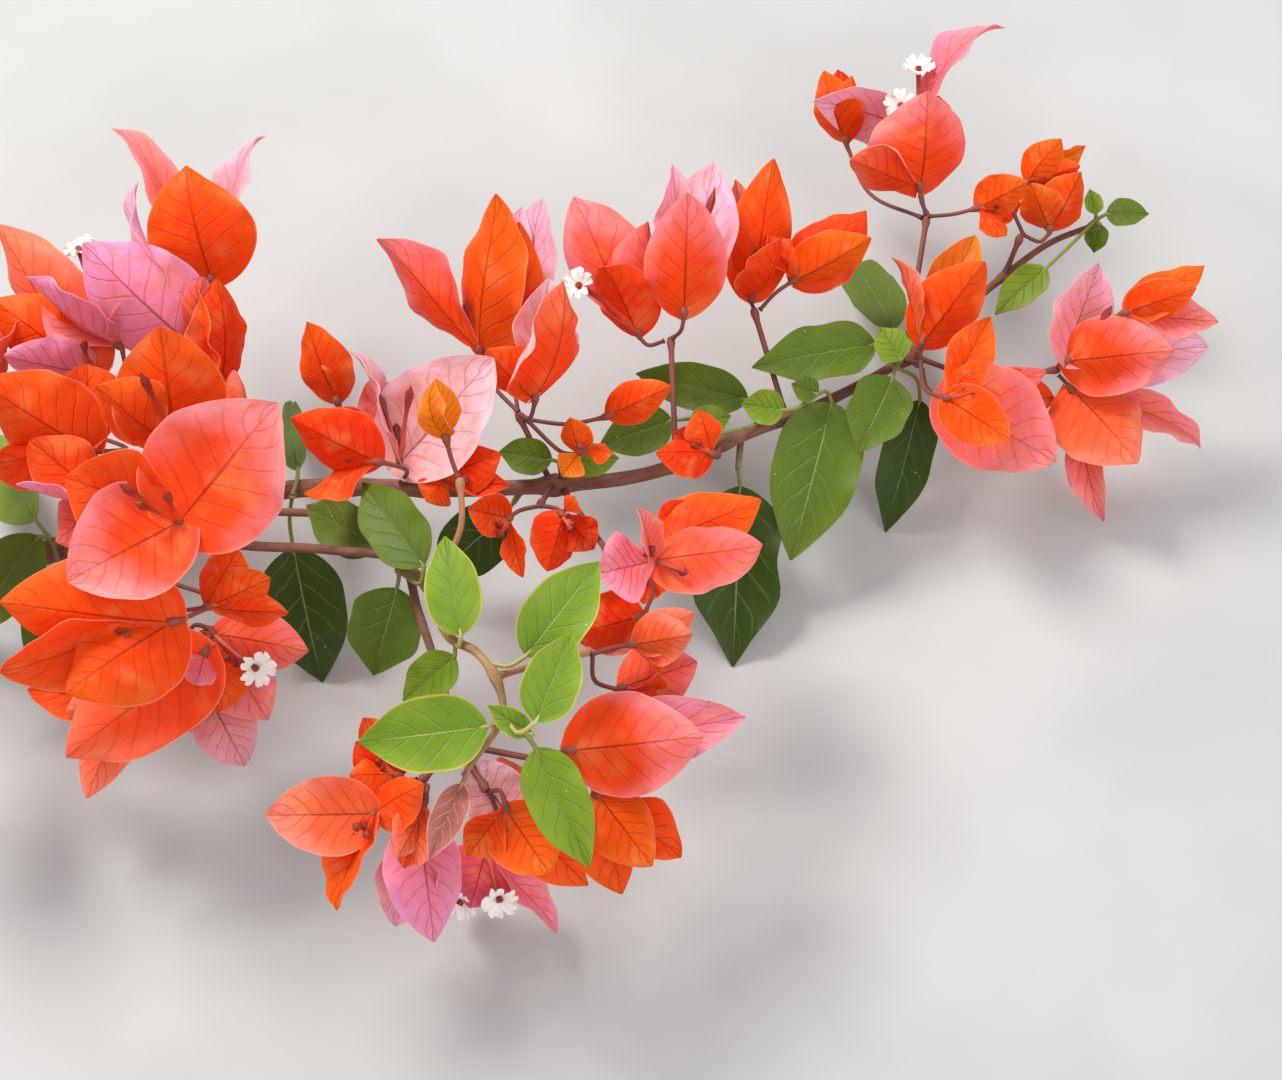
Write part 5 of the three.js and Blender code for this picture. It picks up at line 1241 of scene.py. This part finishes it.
# %% Finish of stalks and flowers
def stalky(name, roughness):
    """Stalks and flower tubes: their own two colours from foot to end, under short fuzz."""
    finish = Finish(name)
    along = finish.blade_place()[1]
    place = finish.place()
    cloud = finish.noise(place, 420, 3)
    fade = (along + (cloud - 0.5) * 0.3).smooth_step(0.1, 0.95)
    colour = finish.mix(finish.attribute("near"), finish.attribute("far"), fade)
    colour = finish.mix(colour, (0.05, 0.015, 0.01, 1), cloud.smooth_step(0.55, 0.8) * 0.35)
    fuzz = finish.noise(place, 2600, 2)
    return finish.surface(colour, roughness + cloud * 0.15, fuzz * 0.5 + cloud, 0.0002)


def waxy(name):
    """An open flower: white lobes round a cream throat."""
    finish = Finish(name)
    along = finish.blade_place()[1]
    cloud = finish.noise(finish.place(), 700, 3)
    colour = finish.mix((0.86, 0.74, 0.4, 1), (1.0, 0.98, 0.94, 1), along.smooth_step(0.06, 0.2))
    colour = finish.mix(colour, (0.97, 0.88, 0.84, 1), cloud.smooth_step(0.5, 0.8) * 0.2)
    return finish.surface(colour, 0.45 + cloud * 0.15, cloud, 0.0002, (1.0, 0.95, 0.88, 1), 0.25)


STALK = stalky("stalk", 0.5)
FLOWER_TUBE = stalky("flower_tube", 0.42)
STAR = waxy("open_star")
print("finished:", STALK.name, FLOWER_TUBE.name, STAR.name)

# %% [markdown]
# ## Stems
#
# Each limb tapers evenly from foot to tip, and swells a little where a stalk leaves it. Furrows in the
# material alone would be lighter, but the bark has them partly as real relief, in the radius of each
# ring, so that the outline of the stem is uneven too.

# %% Limbs
STEM_SIDES = 20
STEM_RINGS = 14  # to each place on a limb's path
JOINT_SWELLING = 0.55  # millimetres that a limb gains in radius where a stalk leaves it
JOINT_REACH = 3.2
STALK_COLOURS = (srgb("#6a3630"), srgb("#84463a"))


def furrows(seed, depth):
    """How far a stem's radius swells round it and along it."""
    def swell(around, run):
        wide = np.sin(3 * around + run * 0.05 + seed) + 0.6 * np.sin(7 * around - run * 0.09 + 2 * seed)
        fine = np.sin(11 * around + 2.1 * np.sin(run * 0.35 + seed)) * np.sin(run * 0.8 + seed)
        return 1 + depth * (wide + 0.5 * fine) / 2
    return swell


def add_limb(gathered, path, radii, seed, depth, swellings=()):
    """A tapering limb. It swells at the places where stalks leave it."""
    centres = smooth(path, STEM_RINGS * len(path))
    taper = np.linspace(*radii, len(centres))
    for place in swellings:
        apart = np.linalg.norm(centres - place, axis=1)
        taper = taper + JOINT_SWELLING * np.exp(-(apart / JOINT_REACH) ** 2)
    points, faces, places = tube_shape(centres, taper, STEM_SIDES, furrows(seed, depth))
    gathered.add(points, faces, places, *STALK_COLOURS, seed)


# %% Stalks
STALK_SIDES = 10
STALK_RINGS = 12
STALK_RADIUS = 0.85
FORK_HALF = 1.7  # the end of a stalk, up to where it meets its fork
SHORT_STALK = 6  # below this length a stalk is straight


def stalk_curve(start, end, arrive):
    """A thin stalk's places, which come in to its end along a given way."""
    straight = end - start
    reach = np.linalg.norm(straight)
    if reach < SHORT_STALK:
        return [start, end]
    return [start, end - unit(unit(straight) + arrive) * reach * 0.45, end]


def add_stalk(gathered, fork, colours, seed, look=0):
    """The stalk from a branch to a fork, swollen at both ends."""
    path = [spot(fork[key]) for key in ("foot", "via", "at") if key in fork]
    inward = unit(path[-2] - path[-1])
    path[-1] = path[-1] - inward * FORK_HALF
    centres = smooth(path, STALK_RINGS * len(path))
    to_end = np.linalg.norm(centres - centres[-1], axis=1)
    to_foot = np.linalg.norm(centres - centres[0], axis=1)
    end_swelling = 0.5 * np.exp(-((to_end - FORK_HALF) / 1.4) ** 2)
    radii = STALK_RADIUS + end_swelling + 0.6 * np.exp(-(to_foot / 2.5) ** 2)
    points, faces, places = tube_shape(centres, radii, STALK_SIDES)
    gathered.add(points, faces, places, *colours, seed, look)


# %% Stems
STEM_RELIEF = 0.07  # depth of the furrows, as a share of the radius
STUB_RELIEF = 0.06


def stem_piece(name, stem, seed):
    """A limb with its stalks, and with the short side limb that the main stem has."""
    gathered = Gathered()
    forks = [spot(FORKS[f]["foot"]) for f in stem["forks"]]
    add_limb(gathered, [spot(p) for p in stem["path"]], stem["radii"], seed, STEM_RELIEF, forks)
    if "stub" in stem:
        stub = stem["stub"]
        path = [spot(stub[k]) for k in ("foot", "via", "at")]
        add_limb(gathered, path, stub["radii"], seed + 1, STUB_RELIEF)
    for i, fork in enumerate(stem["forks"]):
        add_stalk(gathered, FORKS[fork], STALK_COLOURS, seed + i, 1)
    gathered.piece(name + "_wood", [BARK, STALK], "bark", [name])


for number, (name, stem) in enumerate(STEMS.items()):
    stem_piece(name, stem, 900 + number * 31)

# %% [markdown]
# ## Blooms
#
# Three bracts stand round a short stalk's swollen end, and each carries one slim flower. No two blooms
# hold their bracts alike, so each bract is given its tip, its width and which face it shows, and the
# curve between is worked out: the rib bends along its length and is then turned back and stretched
# until it ends on its tip. Posing each one by hand with bones would do the same with far more work.

# %% Rolled edges
# How far an edge rolls back where that is plain to see, by bloom and number of the bract.
ROLLED_EDGES = {
    ("bloom_tip", 0): 0.0,
    ("bloom_tip", 1): 2.4,
    ("bloom_crown_front", 0): -2.6,
    ("bloom_crown_front", 1): 0.0,
    ("bloom_horned", 0): 0.0,
    ("bloom_front", 0): -1.2,
    ("bloom_front", 1): 0.0,
    ("bloom_end", 1): 1.6,
    ("bloom_salmon", 0): -2.0,
    ("bloom_side", 0): 1.5,
}


def rolled_edge(node, k, seed):
    """How far one edge of a bract rolls back, in radians. A negative roll is on its left."""
    if (node, k) in ROLLED_EDGES:
        return ROLLED_EDGES[node, k]
    if chance(seed + 90) < 0.5:
        return 0.0
    return (0.5 + 0.9 * chance(seed + 91)) * (1 if chance(seed + 92) > 0.5 else -1)


print("bracts with a given roll:", len(ROLLED_EDGES))

# %% How a bract lies
BRACT_ROOT = 1.4  # how far from the middle of its bloom a bract begins
FULLER = 1.04  # a bract's width over the width that shows
HABIT_WIDTH = 0.86  # width of a bract that has a habit, as a share of its length
HABIT_TILT = 20
THIRD_TURN = 120  # degrees between two of the three bracts of a bloom
HABITS = {
    "bell": dict(start=40, bend=-48, flick=85, cup=0.95),
    "half": dict(start=38, bend=-12, flick=25, cup=0.85),
}


def first_outward(axis):
    """The way square to an axis that comes nearest to the viewer."""
    toward = TOWARD if abs(np.dot(axis, TOWARD)) < 0.85 else UP
    return unit(toward - axis * np.dot(toward, axis))


def measured_bract(bloom, bract, seed):
    """Sizes of a bract that runs from the middle of its bloom to a given tip."""
    centre = spot(bloom["at"])
    straight = near_spot(bloom["at"], bract["tip"]) - centre
    reach = np.linalg.norm(straight) - BRACT_ROOT
    along = unit(straight)
    inner = turned(unit(TOWARD - along * np.dot(TOWARD, along)), along, np.radians(bract["face"]))
    bend, flick = bract.get("bend", -30), bract.get("flick", 25)
    fine = (np.arange(RIB_STEPS) + 0.5) / RIB_STEPS
    angle = np.radians(bend * fine + flick * fine ** 4)
    onward, aside = np.cos(angle).mean(), np.sin(angle).mean()
    return dict(
        root=centre + along * BRACT_ROOT, along=along, outward=-inner,
        length=reach / np.hypot(onward, aside), width=bract["width"] * FULLER,
        start=-np.degrees(np.arctan2(aside, onward)), bend=bend, flick=flick,
        cup=bract.get("cup", 0.75), twist=jitter(seed + 60, 16))


def habit_bract(bloom, k, seed):
    """Sizes of one of three bracts that stand evenly round their bloom's axis."""
    axis = facing(bloom["axis"])
    habit = HABITS[bloom["habit"]]
    turn = np.radians(bloom["roll"] + THIRD_TURN * k + jitter(seed + k, 9))
    outward = turned(first_outward(axis), axis, turn)
    length = bloom["size"] * (1 + jitter(seed + k + 20, 0.07))
    return dict(
        root=spot(bloom["at"]) + outward * BRACT_ROOT - axis * 0.4, along=axis, outward=outward,
        length=length, width=length * HABIT_WIDTH, start=habit["start"] + jitter(seed + k + 40, 6),
        bend=habit["bend"], flick=habit["flick"], cup=habit["cup"], tilt=HABIT_TILT,
        twist=jitter(seed + k + 60, 14))


# %% Bracts
BRACT_LOBE = 0.17  # how far its margin runs back past its foot, as a share of its width
BRACT_POWERS = (0.52, 0.86)  # how round its foot and its tip are
BRACT_FOLD = 0.4
BRACT_WAVE = 1.2
FULL_LENGTH = 38  # from this length on, a bract's margin is waved in full
TUCK = 0.62
EDGE_ON_TUCK = 0.28  # added for a bract that is seen from its edge


def tucked(bloom, k):
    """How much a bract is slimmed at its foot, where it tucks in behind the first of its bloom."""
    if k == 0 or "habit" in bloom:
        return 0.0
    first, bract = bloom["bracts"][0], bloom["bracts"][k]
    if bract["tip"][2] > first["tip"][2]:
        return 0.0
    return TUCK + EDGE_ON_TUCK * abs(np.sin(np.radians(bract["face"])))


def paired(front, back):
    """Colours for the back of a blade and then for its front."""
    size = (ROWS + 1) * (COLUMNS + 1)
    return np.concatenate([np.broadcast_to(back, (size, 3)), np.broadcast_to(front, (size, 3))])


def bract_count(bloom):
    """How many bracts a bloom has. One with a habit has three."""
    return len(bloom["bracts"]) if "bracts" in bloom else 3


def paper_number(stage):
    """The place of a stage's material in BRACT_MATERIALS."""
    if stage in PALE_STAGES:
        return 2
    return 1 if stage in PINK_PAPER_STAGES else 0


def add_bracts(gathered, node, bloom, stages, seed):
    """The two or three bracts of a bloom, each with a stage of its own."""
    for k in range(bract_count(bloom)):
        if "habit" in bloom:
            sizes = habit_bract(bloom, k, seed)
        else:
            sizes = measured_bract(bloom, bloom["bracts"][k], seed + k)
        stage = stages[k % len(stages)]
        share = min(1, sizes["length"] / FULL_LENGTH)
        points, places = blade_shape(
            powers=BRACT_POWERS, seed=seed + k * 3, wave=BRACT_WAVE * share, fold=BRACT_FOLD,
            lobe=BRACT_LOBE, roll=rolled_edge(node, k, seed + k), tuck=tucked(bloom, k), **sizes)
        back_near, back_far, front_near, front_far = (srgb(code) for code in BRACT_STAGES[stage])
        shade = 1 + jitter(seed + k + 80, 0.07)
        near = paired(front_near, back_near) * shade
        far = paired(front_far, back_far) * shade
        gathered.add(points, BLADE_FACES, places, near, far, seed + k, paper_number(stage))


# %% Flower tubes
TUBE_RADIUS = 0.55
TUBE_SIDES = 10
TUBE_RINGS = 20


def five_ribs(around, run):
    """The faint ribs of a flower tube."""
    return 1 + 0.12 * np.cos(5 * around)


def add_flower_tube(gathered, foot, tip, axis, colours, seed, opened):
    """A slim ribbed tube with a slight waist. A closed one swells below its pointed tip."""
    middle = (foot + tip) / 2 + axis * np.linalg.norm(tip - foot) * 0.06
    centres = smooth([foot, middle, tip], TUBE_RINGS)
    share = np.linspace(0, 1, TUBE_RINGS + 1)
    radii = TUBE_RADIUS + 0.3 * np.exp(-((share - 0.15) / 0.14) ** 2)
    if opened:
        radii = radii + 0.35 * share ** 3
    else:
        radii = radii + 0.6 * np.exp(-((share - 0.86) / 0.13) ** 2)
        radii = radii * np.minimum(1, (1 - share) * 8 + 0.2)
    points, faces, places = tube_shape(centres, radii, TUBE_SIDES, five_ribs)
    gathered.add(points, faces, places, *colours, seed)


# %% Open flowers
STAR_RADIUS = 5.3
STAR_RINGS = 7
STAR_TURNS = 60
STAR_SKIN = 0.16  # half of a lobe's thickness
STAR_THROAT = 0.09  # radius of the throat, as a share of the star's


def add_star(gathered, centre, axis, seed):
    """The open end of a tube: five lobes, each notched and ruffled, round a narrow throat."""
    across = first_outward(axis)
    up = np.cross(axis, across)
    turns = np.arange(STAR_TURNS) / STAR_TURNS * 2 * np.pi
    lobe = np.abs(np.cos(2.5 * turns)) ** 0.34
    sheets = []
    for skin in (-STAR_SKIN, STAR_SKIN):
        for r in range(STAR_RINGS + 1):
            share = STAR_THROAT + (1 - STAR_THROAT) * r / STAR_RINGS
            cleft = 1 - 0.2 * np.exp(-(np.sin(2.5 * turns) / 0.16) ** 2) * share
            reach = STAR_RADIUS * share * (1 - share * 0.5 * (1 - lobe)) * cleft
            ruffle = 0.55 * share ** 3 * np.cos(10 * turns + seed) + 0.3 * share ** 2 * np.cos(15 * turns)
            rise = -2.56 * (1 - share) ** 1.5 + ruffle + skin
            level = np.outer(np.cos(turns) * reach, across) + np.outer(np.sin(turns) * reach, up)
            sheets.append(centre + level + np.outer(rise, axis))
    along = np.tile(np.repeat(np.arange(STAR_RINGS + 1) / STAR_RINGS, STAR_TURNS), 2)
    round_it = np.tile(np.arange(STAR_TURNS) / STAR_TURNS, 2 * (STAR_RINGS + 1))
    faces = []
    rim = STAR_RINGS * STAR_TURNS
    front = rim + STAR_TURNS
    for k in range(STAR_TURNS):
        after = (k + 1) % STAR_TURNS
        for low in range(0, rim, STAR_TURNS):
            high = low + STAR_TURNS
            faces.append((low + k, high + k, high + after, low + after))
            faces.append((front + low + k, front + low + after, front + high + after, front + high + k))
        faces.append((rim + k, front + rim + k, front + rim + after, rim + after))
        faces.append((k, after, front + after, front + k))
    places = np.stack([round_it, along], 1)
    gathered.add(np.concatenate(sheets), faces, places, (1, 1, 1), (1, 1, 1), seed)


# %% Flowers of a bloom
HIDDEN_TUBE = 15  # longest that a tube between the bracts gets
STAR_LIFT = 1.0  # how strongly an open flower turns to the viewer
TUBE_STAGES = {
    "red": (srgb("#d8481c"), srgb("#8e2814")),
    "pink": (srgb("#d05a3c"), srgb("#8a2420")),
}


def bract_middle(bloom, k):
    """The way from the middle of a bloom to a bract's tip, and how far that is."""
    if "habit" in bloom:
        axis = facing(bloom["axis"])
        way = turned(first_outward(axis), axis, np.radians(bloom["roll"] + THIRD_TURN * k))
        return unit(axis + 0.5 * way), bloom["size"]
    straight = near_spot(bloom["at"], bloom["bracts"][k]["tip"]) - spot(bloom["at"])
    return unit(straight), np.linalg.norm(straight)


def add_flowers(tubes, stars, bloom, stage, seed):
    """A flower to each bract: those that show, and the others close to the middle of the bloom."""
    centre = spot(bloom["at"])
    axis = facing(bloom["axis"])
    colours = TUBE_STAGES["pink" if stage in PINK_STAGES else "red"]
    shown = bloom.get("flowers", [])
    for k, flower in enumerate(shown):
        tip = near_spot(bloom["at"], flower["tip"])
        way = unit(tip - centre)
        opened = flower.get("open", False)
        add_flower_tube(tubes, centre + way, tip, axis, colours, seed + k, opened)
        if opened:
            add_star(stars, tip + way * 0.4, unit(way + TOWARD * STAR_LIFT), seed + k)
    ways = [bract_middle(bloom, k) for k in range(bract_count(bloom))]
    inner = unit(axis * 0.7 + sum(way for way, reach in ways))
    for k, (way, reach) in enumerate(ways[len(shown):]):
        lean = unit(inner + way * 0.3)
        tip = centre + lean * min(reach * 0.42, HIDDEN_TUBE)
        add_flower_tube(tubes, centre + lean, tip, axis, colours, seed + k, False)


# %% Stalk of a bloom
PEDICEL_RADIUS = 0.62
PEDICEL_FOOT = 0.9  # radius at its foot
PEDICEL_RINGS = 14
PEDICEL_COLOURS = (srgb("#6e3c34"), srgb("#8e4634"))
HEART_RADIUS = 1.3  # the swollen end that the bracts stand on
HEART_RADII = (0.8, HEART_RADIUS * 0.85, HEART_RADIUS, HEART_RADIUS * 0.8, 0.4)
HEART_STEP = 0.9


def add_pedicel(gathered, foot, bloom, seed):
    """A bloom's thin stalk, swollen where the bracts meet."""
    heart = spot(bloom["at"])
    axis = facing(bloom["axis"])
    neck = heart - axis * (2 * HEART_STEP)
    centres = smooth(stalk_curve(foot, neck, axis), PEDICEL_RINGS)
    onward = [neck + axis * (HEART_STEP * i) for i in range(1, 5)]
    centres = np.concatenate([centres, onward])
    radii = np.full(len(centres), PEDICEL_RADIUS)
    radii[-5:] = HEART_RADII
    radii[0] = PEDICEL_FOOT
    points, faces, places = tube_shape(centres, radii, STALK_SIDES)
    gathered.add(points, faces, places, *PEDICEL_COLOURS, seed)


# %% [markdown]
# ## Clusters
#
# All blooms that hang on one fork become one mesh of bracts, so that a cluster is one piece. Stalks,
# tubes and stars are each one mesh for the whole branch. A mesh for each bract would be easier to pick
# up and move by hand, but there are well over a hundred.

# %% Closed buds
# Radius of a closed bud at shares of its length.
BUD_SIZES = ((0, 1.5), (0.15, 2.6), (0.4, 3.4), (0.7, 2.7), (0.9, 1.4), (1, 0.4))
BUD_RINGS = 18
BUD_SIDES = 18


def three_seams(around, run):
    """The seams along which a bud's three bracts meet."""
    return 1 + 0.09 * np.abs(np.cos(1.5 * around))


def add_bud(gathered, bloom, stage, seed):
    """A bloom that is still closed: a pointed bud with three seams."""
    centre = spot(bloom["at"])
    axis = facing(bloom["axis"])
    shares, widths = zip(*BUD_SIZES)
    even = np.linspace(0, 1, BUD_RINGS + 1)
    centres = centre + np.outer(even * bloom["size"], axis)
    radii = np.interp(even, shares, widths)
    points, faces, places = tube_shape(centres, radii, BUD_SIDES, three_seams)
    near, far = (srgb(code) for code in BRACT_STAGES[stage][:2])
    gathered.add(points, faces, places, near, far, seed)


# %% Gather the clusters
FORK_CLEAR = 0.3
clusters = {}
tubes, stars, stalks = Gathered(), Gathered(), Gathered()
for number, (node, blooms) in enumerate(BLOOMS.items()):
    cluster = clusters.setdefault(blooms[0]["fork"], {"bracts": Gathered(), "nodes": [], "pink": 0})
    cluster["nodes"].append(node)
    fork = spot(FORKS[blooms[0]["fork"]]["at"])
    mean = unit(sum(unit(spot(bloom["at"]) - fork) for bloom in blooms))
    foot = fork + mean * (FORK_HALF + FORK_CLEAR)
    for i, (bloom, stages) in enumerate(zip(blooms, BLOOM_STAGES[node])):
        seed = number * 50 + 3 + i * 7
        stages = stages.split()
        cluster["pink"] += sum(1 if stage in PINK_STAGES else -1 for stage in stages)
        add_pedicel(stalks, foot, bloom, seed)
        if bloom.get("habit") == "bud":
            add_bud(cluster["bracts"], bloom, stages[0], seed)
            continue
        add_bracts(cluster["bracts"], node if i == 0 else "", bloom, stages, seed)
        add_flowers(tubes, stars, bloom, stages[0], seed)

for fork, cluster in clusters.items():
    slot = "pink_bracts" if cluster["pink"] > 0 else "orange_bracts"
    cluster["bracts"].piece(fork + "_bracts", BRACT_MATERIALS, slot, cluster["nodes"])
tubes.piece("flower_tubes", [FLOWER_TUBE], "orange_bracts")
stars.piece("open_flowers", [STAR], "pink_bracts")
stalks.piece("bloom_stalks", [STALK], "orange_bracts")

# %% [markdown]
# ## Leaves
#
# A leaf is a blade that is only gently cupped, on a round stalk that runs on as its rib. The grown
# leaves are dark and a little waved. Those of the young shoot are bright, with a yellow margin. A flat
# card with a picture of a leaf would do from afar, but it would not catch the light along its bends.

# %% A leaf and its stalk
LEAF_POWERS = (0.62, 0.95)
LEAF_LOOKS = {"young": 1, "blush": 2}
LEAF_MATERIALS = [OLD_LEAF, YOUNG_LEAF, BLUSH_LEAF]
PETIOLE_RADIUS = 0.6
RIB_SHARES = (0.08, 0.2, 0.35, 0.5, 0.65)  # where the leaf stalk runs on under the blade
RIB_RADII = (0.5, 0.42, 0.34, 0.26, 0.16)
RIB_DEPTH = 0.35
PETIOLE_FOOT = 0.95  # radius at its foot
PETIOLE_RINGS = 10
PETIOLE_SIDES = 8
PETIOLE_COLOURS = {
    "young": (srgb("#a8a05a"), srgb("#b8c470")),
    "blush": (srgb("#b07a58"), srgb("#c88a70")),
}
GROWN_PETIOLE = (srgb("#7a7a3c"), srgb("#86a048"))
LEAST_SINUOUS = 0.03  # how far most leaves' margins wind in and out


def add_leaf(blades, petioles, leaf, tone, foot, seed, sinuous=LEAST_SINUOUS):
    """A leaf's blade, and its stalk from a foot on a twig or limb."""
    root = spot(leaf["root"])
    straight = spot(leaf["tip"]) - root
    length = np.linalg.norm(straight)
    along = straight / length
    upper = turned(unit(TOWARD - along * np.dot(TOWARD, along)), along, np.radians(leaf["face"]))
    top_near, top_far, under_near, under_far = (srgb(code) for code in LEAF_TONES[tone])
    points, places = blade_shape(
        root=root, along=along, outward=-upper, length=length * 1.02, width=leaf["width"], start=-10,
        bend=20, cup=0.35, powers=LEAF_POWERS, seed=seed, twist=jitter(seed + 9, 12),
        wave=0.7 * length / 40, keel=0.4, quilt=0.2, sinuous=sinuous)
    near, far = paired(top_near, under_near), paired(top_far, under_far)
    blades.add(points, BLADE_FACES, places, near, far, seed, LEAF_LOOKS.get(tone, 0))
    centres = smooth(stalk_curve(foot, root, along), PETIOLE_RINGS)
    under = -upper * RIB_DEPTH
    run_on = [root + along * length * share + under * (1 - share) for share in RIB_SHARES]
    centres = np.concatenate([centres, run_on])
    radii = np.concatenate([np.full(PETIOLE_RINGS + 1, PETIOLE_RADIUS), RIB_RADII])
    radii[0] = PETIOLE_FOOT
    points, faces, places = tube_shape(centres, radii, PETIOLE_SIDES)
    petioles.add(points, faces, places, *PETIOLE_COLOURS.get(tone, GROWN_PETIOLE), seed)


# %% Leaves on twigs
TWIG_RADII = (1.1, 0.9)
TWIG_RINGS = 6
# Leaves whose margin winds in and out more than most.
SINUOUS = {"leaf_hanging": 0.13, "leaves_elbow": 0.07, "leaves_lower": 0.06}
petioles = Gathered()
for number, (node, group) in enumerate(LEAF_GROUPS.items()):
    blades = Gathered()
    twig = [spot(p) for p in group["twig"]]
    radii = np.linspace(*TWIG_RADII, TWIG_RINGS + 1)
    points, faces, places = tube_shape(smooth(twig, TWIG_RINGS), radii, STALK_SIDES)
    petioles.add(points, faces, places, STALK_COLOURS[0], GROWN_PETIOLE[0], number)
    for i, (leaf, tone) in enumerate(zip(group["leaves"], LEAF_STAGES[node])):
        sinuous = SINUOUS.get(node, LEAST_SINUOUS)
        add_leaf(blades, petioles, leaf, tone, twig[1], 400 + number * 20 + i, sinuous)
    name = "leaf_behind_blade" if node == "leaf_behind" else node + "_blades"
    blades.piece(name, LEAF_MATERIALS, "leaf_green", [node])

# %% [markdown]
# ## The young shoot
#
# The newest growth springs from the lower branch. It is one more limb with leaves, but its wood is still
# tan and green, and its leaves sit on the limb itself, each at a share of its length. A fixed place
# for each leaf stalk's foot would do too, but a share keeps it on the limb when the path is changed.

# %% The young shoot
SHOOT_STEPS = 400
YOUNG_RELIEF = 0.05
YOUNG_STALK_COLOURS = (srgb("#a8714a"), srgb("#b07a58"))
shoot_path = [spot(p) for p in YOUNG_SHOOT["path"]]
shoot_line = smooth(shoot_path, SHOOT_STEPS)
shoot_joints = [spot(FORKS[f]["foot"]) for f in YOUNG_SHOOT["forks"]]
shoot = Gathered()
add_limb(shoot, shoot_path, YOUNG_SHOOT["radii"], 77, YOUNG_RELIEF, shoot_joints)
for i, fork in enumerate(YOUNG_SHOOT["forks"]):
    add_stalk(shoot, FORKS[fork], YOUNG_STALK_COLOURS, 80 + i, 1)
shoot.piece("young_shoot_stem", [YOUNG_BARK, STALK], "young_green", ["young_shoot"])
young_blades = Gathered()
for i, (leaf, tone) in enumerate(zip(SHOOT_LEAVES, SHOOT_STAGES)):
    foot = shoot_line[int(round(leaf["on"] * SHOOT_STEPS))]
    add_leaf(young_blades, petioles, leaf, tone, foot, 700 + i)
young_blades.piece("young_leaves", LEAF_MATERIALS, "young_green")
petioles.piece("leaf_stalks", [STALK], "leaf_green")

# %% [markdown]
# ## Floor, light and camera
#
# A broad pale floor with faint clouds, soft light from a bright surround, a large lamp above the far
# left for a gentle direction, and a weaker one at the near right that keeps the shadows open. Small
# hard lamps would pick out each bract better, but the bracts would lose their papery glow. The camera
# looks down at the angle that the branch was measured in.

# %% Floor
FLOOR_SIZE = 8  # metres


def floor_finish():
    """Matt pale grey with broad faint clouds."""
    finish = Finish("floor")
    cloud = finish.noise(finish.place(), 9, 3)
    colour = finish.mix((0.46, 0.46, 0.45, 1), (0.52, 0.52, 0.51, 1), cloud.smooth_step(0.3, 0.7))
    return finish.surface(colour, 0.85, shine=0.2)


bpy.ops.mesh.primitive_grid_add(x_subdivisions=4, y_subdivisions=4, size=FLOOR_SIZE)
floor = bpy.context.active_object
floor.name = "floor"
floor.data.materials.append(floor_finish())
print("floor:", tuple(floor.dimensions))

# %% Light
LAMPS_AIM = Vector((0, 0, 0.05))


def lamp(name, place, power, size, colour):
    """A round soft lamp that points at the branch."""
    light = bpy.data.lights.new(name, "AREA")
    light.energy = power
    light.shape = "DISK"
    light.size = size
    light.color = colour
    made = bpy.data.objects.new(name, light)
    made.location = place
    made.rotation_euler = (LAMPS_AIM - made.location).to_track_quat("-Z", "Y").to_euler()
    bpy.context.scene.collection.objects.link(made)


lamp("window", (-0.7, 0.7, 1.3), 24, 0.6, (1.0, 0.98, 0.95))
lamp("fill", (0.9, -0.9, 1.0), 7, 1.2, (0.97, 0.98, 1.0))
world = bpy.data.worlds.new("surround")
world.use_nodes = True
surround = world.node_tree.nodes["Background"]
surround.inputs["Color"].default_value = (0.98, 0.98, 1.0, 1)
surround.inputs["Strength"].default_value = 0.8
bpy.context.scene.world = world
bpy.context.scene.view_settings.view_transform = "Standard"

# %% Camera
SENSOR_WIDTH = 36
camera_data = bpy.data.cameras.new("camera")
camera_data.sensor_width = SENSOR_WIDTH
camera_data.lens = SENSOR_WIDTH / 2 * VIEW_DISTANCE / (PICTURE_MIDDLE[0] * STEP)
camera_data.clip_start = 0.01
camera = bpy.data.objects.new("camera", camera_data)
turn = Matrix([RIGHT, UP, TOWARD]).transposed()
camera.matrix_world = Matrix.Translation(Vector((EYE - FOOTPRINT_MIDDLE) * MILLIMETRE)) @ turn.to_4x4()
bpy.context.scene.collection.objects.link(camera)
bpy.context.scene.camera = camera
print("lens:", round(camera_data.lens, 1), "mm at", tuple(round(c, 3) for c in camera.location))
